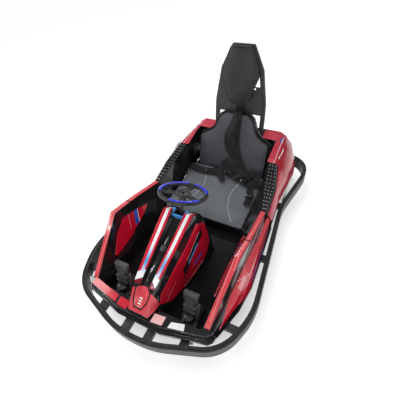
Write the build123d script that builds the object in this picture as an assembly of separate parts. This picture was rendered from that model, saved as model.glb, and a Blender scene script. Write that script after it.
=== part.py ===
from build123d import *
import math
import os

# Drift kart: a low moulded body on a steel frame, ringed by a rubber bumper.
# Millimetres. +X is the driver's left, -Y the front, +Z up, origin on the floor.

half_length = 830
half_width = 560

# Running gear
front_axle_y, rear_axle_y = -330, 560
wheel_r = 100
front_wheel_x, rear_wheel_x = 400, 395
front_tyre_w, rear_tyre_w = 60, 80
kingpin_x, kingpin_r = 345, 8
spindle_r, axle_r = 10, 24
steer_arm = 80
arm_z, arm_t = 68, 12
pin_r, pin_low = 6, 46
eye_r, eye_z, eye_h = 14, 50, 14
run_gap = 0.3

# Steel frame
rail_x, rail_w, rail_h = 200, 40, 30
rail_z, rear_rail_z = 70, wheel_r + axle_r + 2
front_cross_y, rail_end_y = -690, half_length - 40

# Body
floor_z, floor_t = 100, 6
floor_top = floor_z + floor_t
skirt_z = 165
wall = 5
panel_t = 3

# Bumper
ring_low, ring_high, ring_t = 115, 200, 28
stub_low, stub_high, stub_w = 125, 160, 46

# Steering column
wheel_c = (0, -129, 571)
joint_z = 130

# Seat
cushion_low, seat_pan_t = 158, 8
back_foot = (515, 222)
back_lean = 22
pad_t, back_shell_t = 40, 10

# Headrest frame
post_foot = (655, rear_rail_z + rail_h)
post_lean = 10
post_w, post_t = 32, 20


def block(x0, x1, y0, y1, z0, z1):
    return Pos((x0 + x1) / 2, (y0 + y1) / 2, (z0 + z1) / 2) * Box(x1 - x0, y1 - y0, z1 - z0)


def rod(start, end, radius):
    axis = Vector(*end) - Vector(*start)
    plane = Plane(origin=start, z_dir=axis)
    return extrude(plane * Circle(radius), axis.length)


def disc(x, y, z0, z1, radius):
    return Pos(x, y, (z0 + z1) / 2) * Cylinder(radius, z1 - z0)


def both(part):
    return [part, mirror(part, Plane.YZ)]


def grown(points, d):
    # Moves each side of a closed outline outward by d; the points run clockwise seen from the front.
    count, result = len(points), []
    for i in range(count):
        (ax, az), (bx, bz), (cx, cz) = points[i - 1], points[i], points[(i + 1) % count]
        la, lb = math.hypot(bx - ax, bz - az), math.hypot(cx - bx, cz - bz)
        nx, nz = -(bz - az) / la, (bx - ax) / la
        mx, mz = -(cz - bz) / lb, (cx - bx) / lb
        k = d / (1 + nx * mx + nz * mz)
        result.append((bx + (nx + mx) * k, bz + (nz + mz) * k))
    return result


def lofted(sections):
    # Joins like-numbered outlines with flat facets; the diagonals mirror from one half of an outline to the other.
    loops = [[(x, y, z) for x, z in pts] for y, pts in sections]
    faces = [make_face(Polyline(*loop, close=True)) for loop in (loops[0], loops[-1])]
    for near, far in zip(loops, loops[1:]):
        count = len(near)
        for i in range(count):
            j = (i + 1) % count
            start, end = (near[i], far[j]) if i < count / 2 else (near[j], far[i])
            for corner in (near[j], far[i]) if i < count / 2 else (near[i], far[j]):
                faces.append(make_face(Polyline(start, end, corner, close=True)))
    return Solid(Shell(faces)).fix()


def turned(outline, sides):
    # Turns a closed (radius, height) outline about Z in flat facets, with the flats on the given radii.
    step = 2 * math.pi / sides
    grow = 1 / math.cos(step / 2)
    rings = [[(r * grow * math.cos(k * step + step / 2), r * grow * math.sin(k * step + step / 2), h) for r, h in outline]
             for k in range(sides)]
    faces = []
    for k in range(sides):
        near, far = rings[k - 1], rings[k]
        for i in range(len(outline)):
            faces.append(make_face(Polyline(near[i - 1], near[i], far[i], far[i - 1], close=True)))
    return Solid(Shell(faces)).fix()


def prism_x(points, x0, x1):
    # A side-view outline (y, z) drawn through from x0 to x1.
    face = make_face(Polyline(*[(x0, y, z) for y, z in points], close=True))
    return extrude(face, x1 - x0, dir=(1, 0, 0))


def prism_z(points, z0, z1):
    face = make_face(Polyline(*[(x, y, z0) for x, y in points], close=True))
    return extrude(face, z1 - z0, dir=(0, 0, 1))


def mirrored_outline(points):
    return points + [(-x, y) for x, y in reversed(points) if x > 0]


parts = {}

# Bumper ring: outer corners on the driver's left, front to rear, with their radii.
ring_corners = [
    # x, y, radius
    (110, -half_length, 560),
    (half_width - 100, 124 - half_length, 240),
    (half_width - 14, 360 - half_length, 450),
    (half_width - 86, half_length - 540, 500),
    (half_width - 19, half_length - 190, 260),
    (half_width - 36, half_length, 162),
]
ring_loop = ring_corners + [(-x, y, r) for x, y, r in reversed(ring_corners)]
ring_line = FilletPolyline(*[(x, y) for x, y, r in ring_loop], radius=[r for x, y, r in ring_loop], close=True)
ring_face = make_face(ring_line)
inner_face = offset(ring_face, -ring_t)
ring = Pos(0, 0, ring_low) * extrude(ring_face - inner_face, ring_high - ring_low)
groove_in, groove_w, groove_deep = 9, 10, 4
groove_face = offset(ring_face, -groove_in) - offset(ring_face, -groove_in - groove_w)
ring -= Pos(0, 0, ring_high - groove_deep) * extrude(groove_face, groove_deep)
parts["bumper_ring"] = ring
inside_ring = extrude(offset(ring_face, -ring_t - run_gap), ring_high)

# Frame rails kick up over the rear axle.
kick_y0, kick_y1 = 420, 480
rail_side = [
    (front_cross_y, rail_z), (kick_y0, rail_z), (kick_y1, rear_rail_z), (rail_end_y, rear_rail_z),
    (rail_end_y, rear_rail_z + rail_h), (kick_y1 - 8, rear_rail_z + rail_h),
    (kick_y0 - 8, rail_z + rail_h), (front_cross_y, rail_z + rail_h),
]
parts["frame_rails"] = both(prism_x(rail_side, rail_x - rail_w / 2, rail_x + rail_w / 2))

cross_members = [
    # y, width, z
    (front_cross_y + 20, 40, rail_z),
    (front_axle_y, 50, rail_z),
    (60, 40, rail_z),
    (400, 40, rail_z),
    (post_foot[0], 40, rear_rail_z),
    (rail_end_y - 20, 40, rear_rail_z),
]
cross_x = rail_x - rail_w / 2
crosses = [block(-cross_x, cross_x, y - w / 2, y + w / 2, z, z + rail_h) for y, w, z in cross_members]
crosses[1] -= disc(0, front_axle_y, 0, 200, spindle_r + run_gap)
parts["frame_crosses"] = crosses

# Outriggers carry the bumper stubs and, at the front axle, the kingpin yokes.
beam_x = rail_x + rail_w / 2
outriggers = [
    # y, reach, width
    (-560, 342, 40),
    (-105, 420, 40),
    (330, 400, 40),
]
nose_reach = 285
side_tubes = []
for y, reach, w in outriggers + [(front_cross_y + 20, nose_reach, 40)]:
    side_tubes += both(block(beam_x, reach, y - w / 2, y + w / 2, rail_z, rail_z + rail_h))
parts["frame_outriggers"] = side_tubes

ear_low, ear_high, ear_t, ear_y = 54, 146, 12, 16
yoke = block(beam_x, 310, front_axle_y - 20, front_axle_y + 20, rail_z, rail_z + rail_h)
yoke += block(310, 320, front_axle_y - ear_y, front_axle_y + ear_y, ear_low, ear_high)
for low in (ear_low, ear_high - ear_t):
    yoke += block(318, kingpin_x, front_axle_y - ear_y, front_axle_y + ear_y, low, low + ear_t)
    yoke += disc(kingpin_x, front_axle_y, low, low + ear_t, ear_y)
yoke -= disc(kingpin_x, front_axle_y, 0, 200, kingpin_r + run_gap)
parts["front_yokes"] = both(yoke)

# Bumper stubs run out under the body's lower edge and end on the ring.
stubs = []
for x in (70, 259):
    stubs += both(block(x - stub_w / 2, x + stub_w / 2, -half_length, front_cross_y, stub_low, stub_high)
                  + block(x - stub_w / 2, x + stub_w / 2, front_cross_y - 12, front_cross_y, rail_z, stub_high))
for y, reach, w in outriggers:
    stubs += both(block(reach - 14, half_width, y - w / 2, y + w / 2, stub_low, stub_high)
                  + block(reach - 14, reach + 14, y - w / 2, y + w / 2, rail_z + rail_h, stub_high))
stubs += both(block(rail_x - 20, rail_x + 20, rail_end_y, half_length, rear_rail_z, rear_rail_z + rail_h))
parts["bumper_stubs"] = [s & inside_ring for s in stubs]

# Side pods: one section a row, inner wall to skirt.
pod_rows = [
    # y, wall_x, rail_x, rail_z, groove_x, groove_z, crest_x, crest_z, skirt_x
    (-640, 318, 352, 242, 372, 212, 388, 200, 402),
    (-470, 304, 372, 352, 398, 290, 430, 250, 456),
    (-320, 298, 392, 445, 418, 365, 452, 318, 474),
    (-110, 292, 394, 378, 420, 320, 446, 300, 464),
    (118, 290, 388, 300, 410, 270, 432, 255, 452),
]
pod_waist_z, cap_w = 200, 36


def pod_outline(row):
    y, wall_x, cap_x, cap_z, groove_x, groove_z, crest_x, crest_z, skirt_x = row
    return [
        (wall_x, floor_top), (wall_x, pod_waist_z), (cap_x - cap_w / 2, cap_z), (cap_x + cap_w / 2, cap_z),
        (groove_x, groove_z), (crest_x, crest_z), (skirt_x, skirt_z),
    ]


def pod_hollow(row, shift):
    outline = grown(pod_outline(row), -wall)
    return row[0] + shift, [(outline[0][0], 0)] + outline[1:-1] + [(row[8] - wall, skirt_z), (row[8] - wall, 0)]


pod_sections = [(row[0], pod_outline(row)) for row in pod_rows]
pod_solid = lofted(pod_sections)
shifts = [wall] + [0] * (len(pod_rows) - 2) + [-wall]
pod = pod_solid - lofted([pod_hollow(row, s) for row, s in zip(pod_rows, shifts)])
parts["side_pod_left"] = pod
parts["side_pod_right"] = mirror(pod, Plane.YZ)

# Coloured panels are skins of the pod, cut to their outlines.
pod_skin = lofted([(y, grown(pts, panel_t)) for y, pts in pod_sections]) - pod_solid
cap_zone = lofted([(row[0], [(row[2] - 15, row[3] - 30), (row[2] - 15, row[3] + 30),
                             (row[2] + 15, row[3] + 30), (row[2] + 15, row[3] - 30)]) for row in pod_rows])
parts["rail_caps"] = both(pod_skin & cap_zone)
inner_panel = [(-482, 262), (-388, 348), (-300, 386), (-85, 298), (-190, 271), (-300, 258), (-470, 246)]
parts["pod_inner_panels"] = both(pod_skin & prism_x(inner_panel, 250, 392))
outer_top = [(row[0], row[5] - 4) for row in pod_rows[1:-1]]
outer_panel = [(-606, 198)] + outer_top + [(112, 266), (112, 232), (-80, 228), (-290, 205), (-356, 182), (-466, 222), (-562, 208)]
parts["pod_outer_panels"] = both(pod_skin & prism_x(outer_panel, 402, 520))

# Front lip, notched for the console's nose, in two steps, with a ledge that carries the inlays.
nose_x = 88
lip_front = [(0, -748), (133, -748), (287, -712), (372, -694), (398, -668), (402, -642)]
lip_back = [(330, -642), (326, -655), (nose_x, -655), (nose_x, -668), (0, -668)]
lip_step, lip_top = 195, 248
upper_front = [(0, -732), (130, -732), (282, -697), (362, -680), (384, -660), (388, -642)]
lip = prism_z(mirrored_outline(lip_front + lip_back), skirt_z, lip_step)
lip += prism_z(mirrored_outline(upper_front + lip_back), lip_step, lip_top)
parts["front_lip"] = lip

inlays = [
    # x0, x1, y0 at x0, y0 at x1, depth
    (-345, -156, -678, -714, 40),
    (-141, -77, -720, -726, 46),
    (77, 141, -726, -720, 46),
]
red_inlays = []
for x0, x1, ya, yb, depth in inlays:
    red_inlays.append(prism_z([(x0, ya), (x1, yb), (x1, yb + depth), (x0, ya + depth)], lip_top, lip_top + panel_t))
parts["lip_inlays_red"] = red_inlays
parts["lip_inlay_white"] = prism_z([(172, -716), (256, -698), (246, -666), (178, -684)], lip_top, lip_top + panel_t)

# Floor pan with an upturned front edge.
pan_edge = [(0, -655), (318, -655)] + [(row[1] + 8, row[0]) for row in pod_rows] + [(298, 120), (0, 120)]
pan = prism_z(mirrored_outline(pan_edge), floor_z, floor_top)
pan += block(-312, 312, -655, -655 + wall, floor_top, skirt_z)
pan -= disc(0, front_axle_y, 0, 200, 24)
parts["floor_pan"] = pan

# Console: a hollow ridge down the middle with a channel in its top.
console_rows = [
    # y, base_x, base_z, side_x, side_z, ridge_x, ridge_w, ridge_z, channel_z
    (-723, 62, lip_top + run_gap, 58, 260, 46, 20, 282, 276),
    (-667, 78, lip_top + run_gap, 70, 290, 54, 24, 323, 315),
    (-650, 84, 168, 73, 300, 56, 26, 335, 324),
    (-613, 92, floor_top, 80, 322, 61, 34, 362, 344),
    (-400, 128, floor_top, 106, 378, 80, 46, 432, 400),
    (-210, 158, floor_top, 116, 446, 90, 50, 500, 462),
    (-135, 160, floor_top, 112, 400, 92, 50, 440, 424),
]
channel_x = 20


def console_outline(row):
    y, base_x, base_z, side_x, side_z, ridge_x, ridge_w, ridge_z, channel_z = row
    left = [(channel_x, channel_z), (ridge_x - ridge_w, ridge_z), (ridge_x, ridge_z), (side_x, side_z), (base_x, base_z)]
    return [(-x, z) for x, z in reversed(left)] + left


console_sections = [(row[0], console_outline(row)) for row in console_rows]
console_solid = lofted(console_sections)
console_inner = []
for row, shift in zip(console_rows, [wall] + [0] * (len(console_rows) - 2) + [-wall]):
    outline = grown(console_outline(row), -wall)
    console_inner.append((row[0] + shift, [(outline[0][0], 0)] + outline[1:-1] + [(outline[-1][0], 0)]))
column_axis = (Vector(0, front_axle_y, joint_z), Vector(*wheel_c))
column_dir = (column_axis[1] - column_axis[0]).normalized()


def on_column(distance):
    return tuple(column_axis[0] + column_dir * distance)


column_len = (column_axis[1] - column_axis[0]).length
console = console_solid - lofted(console_inner) - rod(on_column(0), on_column(column_len), 26)
parts["console"] = console

console_skin = lofted([(y, grown(pts, panel_t)) for y, pts in console_sections]) - console_solid
ridge_zone = lofted([(row[0], [(row[5] - row[6] - 1, row[7] - 4), (row[5] - row[6] - 1, row[7] + 20),
                               (row[5] + 2, row[7] + 20), (row[5] + 2, row[7] - 4)]) for row in console_rows[3:6]])
parts["console_ridges"] = both(console_skin & ridge_zone)
side_panel = [(-634, 262), (-600, 320), (-457, 372), (-340, 408), (-218, 456), (-150, 398), (-142, 300), (-160, 222),
              (-249, 167), (-342, 143), (-450, 150), (-568, 175)]
parts["console_panels"] = both(console_skin & prism_x(side_panel, 76, 200))

# The nose carries a shield badge inside a vee.
badge_half = [(14, -606), (41, -632), (36, -674), (20, -700)]
vee_half = [(48, -630), (44, -676), (25, -707), (0, -707)]
badge_zone = prism_z(badge_half + [(-x, y) for x, y in reversed(badge_half)], 270, 400)
vee_zone = prism_z([(100, -636)] + vee_half + [(0, -740), (100, -740)], 264, 400)
parts["nose_badge"] = console_skin & badge_zone
parts["nose_trim"] = both(console_skin & vee_zone)

# Pedals: a ribbed stem leaning back from a floor plate, a round housing at its foot, a tread at its top, a bracket beside it.
pedal_x, pedal_y, pedal_lean = 222, -585, 16
housing_r, housing_h = 33, 56
stem_blocks = [
    # centre along the stem, width, depth, length
    (92, 52, 36, 120),
    (70, 78, 46, 16),
    (106, 78, 46, 16),
    (170, 84, 26, 60),
]
plate_x, plate_y0, plate_y1, plate_t = 46, pedal_y - 45, pedal_y + 75, 6
bracket_side = [(pedal_y - 20, floor_top), (plate_y1, floor_top), (plate_y1, floor_top + 40), (pedal_y + 45, 240)]
for name, x in (("pedal_throttle", -pedal_x), ("pedal_brake", pedal_x)):
    stem_plane = Plane(origin=(x, pedal_y, floor_top + 14), x_dir=(1, 0, 0),
                       z_dir=(0, math.sin(math.radians(pedal_lean)), math.cos(math.radians(pedal_lean))))
    pedal = block(x - plate_x, x + plate_x, plate_y0, plate_y1, floor_top, floor_top + plate_t)
    pedal += disc(x - 6, pedal_y - 8, floor_top, floor_top + housing_h, housing_r)
    for along, width, depth, length in stem_blocks:
        pedal += stem_plane * Pos(0, 0, along) * Box(width, depth, length)
    pedal += prism_x(bracket_side, x + plate_x - 6, x + plate_x)
    parts[name] = pedal

# Seat arms run back from the pods to the shoulders of the seat.
arm_end = 460
arm_rows = [
    # y, inner_x, waist_z, ridge_x, outer_x, low_z, top_z
    (118 + run_gap, 296, 210, 378, 418, skirt_z, 300),
    (300, 299, 250, 334, 414, skirt_z, 350),
    (arm_end, 300, 372, 316, 376, 215, 402),
]


def arm_outline(row):
    y, inner_x, waist_z, ridge_x, outer_x, low_z, top_z = row
    return [(inner_x, low_z), (inner_x, waist_z), (ridge_x, top_z), (outer_x - 14, top_z), (outer_x, top_z - 22), (outer_x, low_z)]


def arm_hollow(row, shift):
    outline = grown(arm_outline(row), -arm_wall)
    return row[0] + shift, [(outline[0][0], 0)] + outline[1:-1] + [(outline[-1][0], 0)]


arm_wall = 8
arm = lofted([(row[0], arm_outline(row)) for row in arm_rows])
arm -= lofted([arm_hollow(row, s) for row, s in zip(arm_rows, (arm_wall, 0, -arm_wall))])
parts["seat_arm_left"] = arm
parts["seat_arm_right"] = mirror(arm, Plane.YZ)

# Rear fenders: hollow covers over the rear wheels, first beside the arm, then out to the seat.
deck_x = 299
fender_front = [
    # y, inner_x, inner_z, crest_x, crest_z, top_x, top_z, skirt_x
    (118 + run_gap, 418 + run_gap, 282, 424, 276, 436, 258, 448),
    (300, 414 + run_gap, 330, 420, 320, 431, 290, 440),
    (arm_end + run_gap, 376 + run_gap, 386, 398, 366, 426, 328, 453),
]
fender_rear = [
    (arm_end + run_gap, deck_x + run_gap, 402, 362, 396, 426, 328, 453),
    (600, deck_x + run_gap, 424, 350, 402, 418, 336, 460),
    (690, deck_x + run_gap, 426, 338, 410, 404, 338, 450),
    (780, deck_x + run_gap, 424, 340, 398, 388, 340, 414),
]


def fender_outline(row, low):
    y, inner_x, inner_z, crest_x, crest_z, top_x, top_z, skirt_x = row
    return [(inner_x, low), (inner_x, inner_z), (crest_x, crest_z), (top_x, top_z), (skirt_x, skirt_z + 70), (skirt_x, low)]


def fender_hollow(rows, first, last):
    cut = []
    for row, shift in zip(rows, [first] + [0] * (len(rows) - 2) + [last]):
        outline = grown(fender_outline(row, 100), -wall)
        cut.append((row[0] + shift, [(outline[0][0], 0)] + outline[1:-1] + [(outline[-1][0], 0)]))
    return lofted(cut)


fender = lofted([(row[0], fender_outline(row, skirt_z)) for row in fender_front])
fender += lofted([(row[0], fender_outline(row, skirt_z)) for row in fender_rear])
fender -= fender_hollow(fender_front, wall, 2 * wall) + fender_hollow(fender_rear, wall, -wall)
fender -= block(310, 440, rear_axle_y - 110, rear_axle_y + 110, 0, 215)
parts["rear_fender_left"] = fender
parts["rear_fender_right"] = mirror(fender, Plane.YZ)

# Seat: pan, cushion, reclined back pad and its shell.
pan_x = 284
seat_pan = block(-pan_x, pan_x, 24, 405, cushion_low - seat_pan_t, cushion_low)
seat_pan += block(-pan_x, pan_x, 24, 32, floor_top, cushion_low)
for flange in both(block(240, deck_x, 120, 700, cushion_low - seat_pan_t, cushion_low)):
    seat_pan += flange
parts["seat_pan"] = seat_pan
cushion = prism_x([(30, cushion_low), (20, 190), (36, 205), (480, 218), (496, 205), (478, cushion_low)], -pan_x, pan_x)
parts["seat_cushion"] = cushion

lean = math.radians(back_lean)
back_plane = Plane(origin=(0, back_foot[0], back_foot[1]), x_dir=(1, 0, 0),
                   z_dir=(0, -math.cos(lean), math.sin(lean)))
back_half = [(262, -36), (262, 205), (196, 236), (160, 262), (116, 362), (78, 390)]
back_outline = back_half + [(-x, v) for x, v in reversed(back_half)]
back_radii = [30, 30, 20, 40, 20, 16]
shell_edge = 14
pad_line = back_plane * FilletPolyline(*back_outline, radius=back_radii + back_radii[::-1], close=True)
parts["seat_back_pad"] = extrude(make_face(pad_line), pad_t, dir=tuple(-back_plane.z_dir))
shell_half = [(x + shell_edge, v + (shell_edge if v > 0 else 0)) for x, v in back_half]
shell_outline = shell_half + [(-x, v) for x, v in reversed(shell_half)]
shell_line = back_plane.offset(-pad_t) * FilletPolyline(*shell_outline, radius=back_radii + back_radii[::-1], close=True)
back_shell = extrude(make_face(shell_line), back_shell_t, dir=tuple(-back_plane.z_dir))
tilt = math.radians(post_lean)
lug_x, lug_w = 169, 24


def shell_rear(z):
    return back_foot[0] + (pad_t + back_shell_t) / math.cos(lean) + (z - back_foot[1]) * math.tan(lean)


def post_front(z):
    return post_foot[0] + (z - post_foot[1]) * math.tan(tilt)


lug_side = [(shell_rear(370) - 3, 370), (shell_rear(400) - 3, 400),
            (post_front(400) - run_gap, 400), (post_front(370) - run_gap, 370)]
for lug in both(prism_x(lug_side, lug_x - lug_w / 2, lug_x + lug_w / 2)):
    back_shell += lug
parts["seat_back_shell"] = back_shell

# Harness, laid on the pads.
strap_t = 3
strap_plane = back_plane.offset(strap_t)
shoulder = []
for sign in (-1, 1):
    line = Polyline((sign * 40 - 22, 374), (sign * 40 + 22, 374), (sign * 95 + 22, 20), (sign * 95 - 22, 20), close=True)
    shoulder.append(extrude(make_face(strap_plane * line), strap_t - run_gap, dir=tuple(-back_plane.z_dir)))
parts["harness_shoulder"] = shoulder
lap_y0, lap_y1, buckle_x, buckle_h = 395, 440, 34, 22


def on_cushion(y, height):
    return y, 205 + (y - 36) * 13 / 444 + height


def cushion_band(y0, y1, height, x0, x1):
    return prism_x([on_cushion(y0, run_gap), on_cushion(y1, run_gap), on_cushion(y1, height), on_cushion(y0, height)], x0, x1)


parts["harness_lap"] = both(cushion_band(lap_y0, lap_y1, strap_t, buckle_x + run_gap, 275))
parts["harness_buckle"] = cushion_band(lap_y0 - 7, lap_y1 + 7, buckle_h, -buckle_x, buckle_x)

# Headrest: bent tube frame, plate and pad.
post_plane = Plane(origin=(0, post_foot[0], post_foot[1]), x_dir=(1, 0, 0), z_dir=(0, -math.cos(tilt), math.sin(tilt)))
frame_half = [(185, 0), (186, 390), (183, 490), (146, 708), (73, 854)]
frame_outer = frame_half + [(-x, v) for x, v in reversed(frame_half)]
frame_inner = ([(x - post_w, v) for x, v in frame_half[:3]] + [(116, 702), (54, 854 - post_w)])
frame_inner += [(-x, v) for x, v in reversed(frame_inner)]
hoop = extrude(make_face(post_plane * Polyline(*frame_outer, close=True)), post_t, dir=tuple(-post_plane.z_dir))
hoop -= extrude(make_face(post_plane.offset(1) * Polyline(*frame_inner, close=True)), post_t + 2, dir=tuple(-post_plane.z_dir))
post_cut = block(-300, 300, 500, 800, 100, post_foot[1])
parts["headrest_frame"] = hoop - post_cut
plate_lap = 12
plate_half = [(x + plate_lap, v) for x, v in [(153, 412), (150, 490), (131, 603)]]
plate_line = Polyline(*plate_half, *[(-x, v) for x, v in reversed(plate_half)], close=True)
plate_face = make_face(post_plane.offset(6) * plate_line)
for sign in (-1, 1):
    plate_face -= post_plane.offset(6) * Pos(sign * 100, 589) * RegularPolygon(8, 6)
parts["headrest_plate"] = extrude(plate_face, 6 - run_gap, dir=tuple(-post_plane.z_dir))
head_half = [(54, 487), (80, 532), (131, 674), (113, 742), (66, 852)]
head_radii = [30, 50, 40, 120, 16]
head_line = FilletPolyline(*head_half, *[(-x, v) for x, v in reversed(head_half)], radius=head_radii + head_radii[::-1], close=True)
head_t = 55
parts["headrest_pad"] = extrude(make_face(post_plane.offset(6 + run_gap + head_t) * head_line), head_t, dir=tuple(-post_plane.z_dir))

# Rear deck closes the body behind the seat, with red wings outside the posts.
deck_low, deck_top, deck_t = rear_rail_z + rail_h, 426, 6
wing_x, wing_y = 192, 664
deck_side = [(728, deck_top), (776, deck_top), (792, 396), (792, deck_low), (786, deck_low), (786, 394), (773, deck_top - deck_t),
             (728, deck_top - deck_t)]
deck = prism_x(deck_side, -deck_x, deck_x)
for wing in both(block(wing_x, deck_x, wing_y, 730, deck_top - deck_t, deck_top)):
    deck += wing
parts["rear_deck"] = deck
parts["deck_panels"] = both(block(wing_x, deck_x, wing_y, 774, deck_top, deck_top + panel_t))

# Drive: axle housing with stub shafts, motor block and battery block.
axle = rod((-320, rear_axle_y, wheel_r), (320, rear_axle_y, wheel_r), axle_r)
axle += rod((-60, rear_axle_y, wheel_r), (60, rear_axle_y, wheel_r), 52)
stub_end = rear_wheel_x + 35
axle += rod((-stub_end, rear_axle_y, wheel_r), (stub_end, rear_axle_y, wheel_r), spindle_r)
for sign in (-1, 1):
    axle += block(sign * rail_x - 20, sign * rail_x + 20, rear_axle_y - 26, rear_axle_y + 26, wheel_r, rear_rail_z)
parts["rear_axle"] = axle
motor_r, motor_half, motor_behind, motor_drop = 38, 110, 89, 15
motor_y = rear_axle_y + motor_behind
motor_z = wheel_r - motor_drop
parts["drive_motor"] = rod((-motor_half, motor_y, motor_z), (motor_half, motor_y, motor_z), motor_r)
parts["battery_pack"] = block(-cross_x, cross_x, 121, 380, rail_z, cushion_low - seat_pan_t)

# Steering wheel, its lights, hub and column.
wheel_plane = Plane(origin=wheel_c, x_dir=(1, 0, 0), z_dir=tuple(column_dir))
rim_r, grip_r, hub_r, hub_t = 128, 12, 46, 14
spoke_w, spoke_t = 32, 8


def wheel_band(radius):
    # An eight-sided grip section turned round the hub.
    corner = radius / math.cos(math.pi / 8)
    angles = [math.pi / 8 + k * math.pi / 4 for k in range(8)]
    return turned([(rim_r + corner * math.cos(a), corner * math.sin(a)) for a in angles], 48)


grip = wheel_plane * wheel_band(grip_r)
for angle in (90, 205, 335):
    grip += wheel_plane * Rot(0, 0, angle) * Pos(rim_r / 2, 0, 0) * Box(rim_r, spoke_w, spoke_t)
grip += wheel_plane * Cylinder(hub_r, hub_t)
light_t = 2
light_ring = wheel_plane * (wheel_band(grip_r + light_t) - wheel_band(grip_r) - Pos(0, 0, -20) * Box(400, 400, 50))
light_span = 62
lights = []
for angle in (30, 147, 270):
    reach = 2 * rim_r
    edge = math.tan(math.radians(light_span / 2)) * reach
    wedge = extrude(make_face(Polyline((0, 0), (reach, -edge), (reach, edge), close=True)), 40, both=True)
    lights.append(light_ring & (wheel_plane * Rot(0, 0, angle) * wedge))
parts["steering_wheel"] = grip
parts["wheel_lights"] = lights
boss_len = 56
boss = rod(on_column(column_len - hub_t / 2 - boss_len), on_column(column_len - hub_t / 2), 20)
ball_r = 12
shaft = rod(on_column(0), on_column(column_len - hub_t / 2 - boss_len), 8)
parts["steering_column"] = boss + shaft + Pos(*on_column(0)) * Sphere(ball_r)

# Lower shaft, drop arm and track rod: a parallelogram with the two knuckle arms.
rod_y = front_axle_y + steer_arm
drop_low, drop_t = 36, 10
drop = disc(0, front_axle_y, drop_low, joint_z - 20, spindle_r)
drop += disc(0, front_axle_y, joint_z - 22, joint_z + 2, 18) - disc(0, front_axle_y, joint_z - ball_r - run_gap, joint_z + 2, ball_r + run_gap)
drop += block(-10, 10, front_axle_y, rod_y, drop_low, drop_low + drop_t)
drop += disc(0, rod_y, drop_low, drop_low + drop_t, 10) + disc(0, rod_y, drop_low, eye_z + eye_h + 2, pin_r)
parts["steering_arm"] = drop

link_z = eye_z + eye_h / 2
link_bar = Plane(origin=(-kingpin_x, rod_y, link_z), x_dir=(0, 0, 1), z_dir=(1, 0, 0)) * RegularPolygon(6, 6, major_radius=False)
link = extrude(link_bar, 2 * kingpin_x)
for x in (-kingpin_x, 0, kingpin_x):
    link += disc(x, rod_y, eye_z, eye_z + eye_h, eye_r)
for x in (-kingpin_x, 0, kingpin_x):
    link -= disc(x, rod_y, 0, 200, pin_r + run_gap)
parts["track_rod"] = link

# Knuckles turn on their kingpins between the yoke's ears.
barrel_r = 14
knuckle = disc(kingpin_x, front_axle_y, ear_low + ear_t + run_gap, ear_high - ear_t - run_gap, barrel_r)
knuckle += disc(kingpin_x, front_axle_y, ear_low - 4, ear_high + 4, kingpin_r)
knuckle += rod((kingpin_x, front_axle_y, wheel_r), (front_wheel_x + 34, front_axle_y, wheel_r), spindle_r)
knuckle += block(kingpin_x - 8, kingpin_x + 8, front_axle_y, rod_y, arm_z, arm_z + arm_t)
knuckle += disc(kingpin_x, rod_y, arm_z, arm_z + arm_t, 10) + disc(kingpin_x, rod_y, pin_low, arm_z, pin_r)
parts["knuckle_left"] = knuckle
parts["knuckle_right"] = mirror(knuckle, Plane.YZ)

# Wheels: a dished rim on its spindle with a solid tyre round it.
rim_out, rim_wall, web_t = wheel_r - 34, 8, 14
hub_out = rim_out * 0.36
shoulder_r, shoulder_w = 7, 9
wheel_sides = 40


def wheel_pair(name, x, y, width):
    half, lip, hub = width / 2, width / 2 - 4, width / 2 - 8
    plane = Plane(origin=(x, y, wheel_r), x_dir=(0, 0, 1), z_dir=(1, 0, 0))
    tyre = plane * turned([(rim_out, -half), (wheel_r - shoulder_r, -half), (wheel_r, shoulder_w - half), (wheel_r, half - shoulder_w),
                           (wheel_r - shoulder_r, half), (rim_out, half)], wheel_sides)
    blank = spindle_r - 2
    rim = turned([(blank, -hub), (hub_out, -hub), (hub_out, -web_t / 2), (rim_out, -web_t / 2), (rim_out, lip), (rim_out - rim_wall, lip),
                  (rim_out - rim_wall, web_t / 2), (hub_out, web_t / 2), (hub_out, hub), (blank, hub)], wheel_sides)
    rim += turned([(rim_out - rim_wall, -lip), (rim_out, -lip), (rim_out, -web_t / 2), (rim_out - rim_wall, -web_t / 2)], wheel_sides)
    window = make_face(Polyline((rim_out * 0.46, -7), (rim_out * 0.8, -14), (rim_out * 0.8, 14), (rim_out * 0.46, 7), close=True))
    for k in range(5):
        rim -= Rot(0, 0, 72 * k) * extrude(window, web_t, both=True)
    rim = plane * (rim - Cylinder(spindle_r + run_gap, width))
    for side, flip in (("left", False), ("right", True)):
        parts[f"tyre_{name}_{side}"] = mirror(tyre, Plane.YZ) if flip else tyre
        parts[f"rim_{name}_{side}"] = mirror(rim, Plane.YZ) if flip else rim


wheel_pair("front", front_wheel_x, front_axle_y, front_tyre_w)
wheel_pair("rear", rear_wheel_x, rear_axle_y, rear_tyre_w)

os.makedirs("parts", exist_ok=True)
for name, solid in parts.items():
    if isinstance(solid, list):
        solid = Compound(children=[s for piece in solid for s in piece.solids()])
    export_step(solid, f"parts/{name}.step")
print(len(parts), "nodes")
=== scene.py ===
import bpy
import bmesh
from math import pi, radians, sin, cos, hypot
from mathutils import Matrix, Vector
from mathutils.bvhtree import BVHTree


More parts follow.
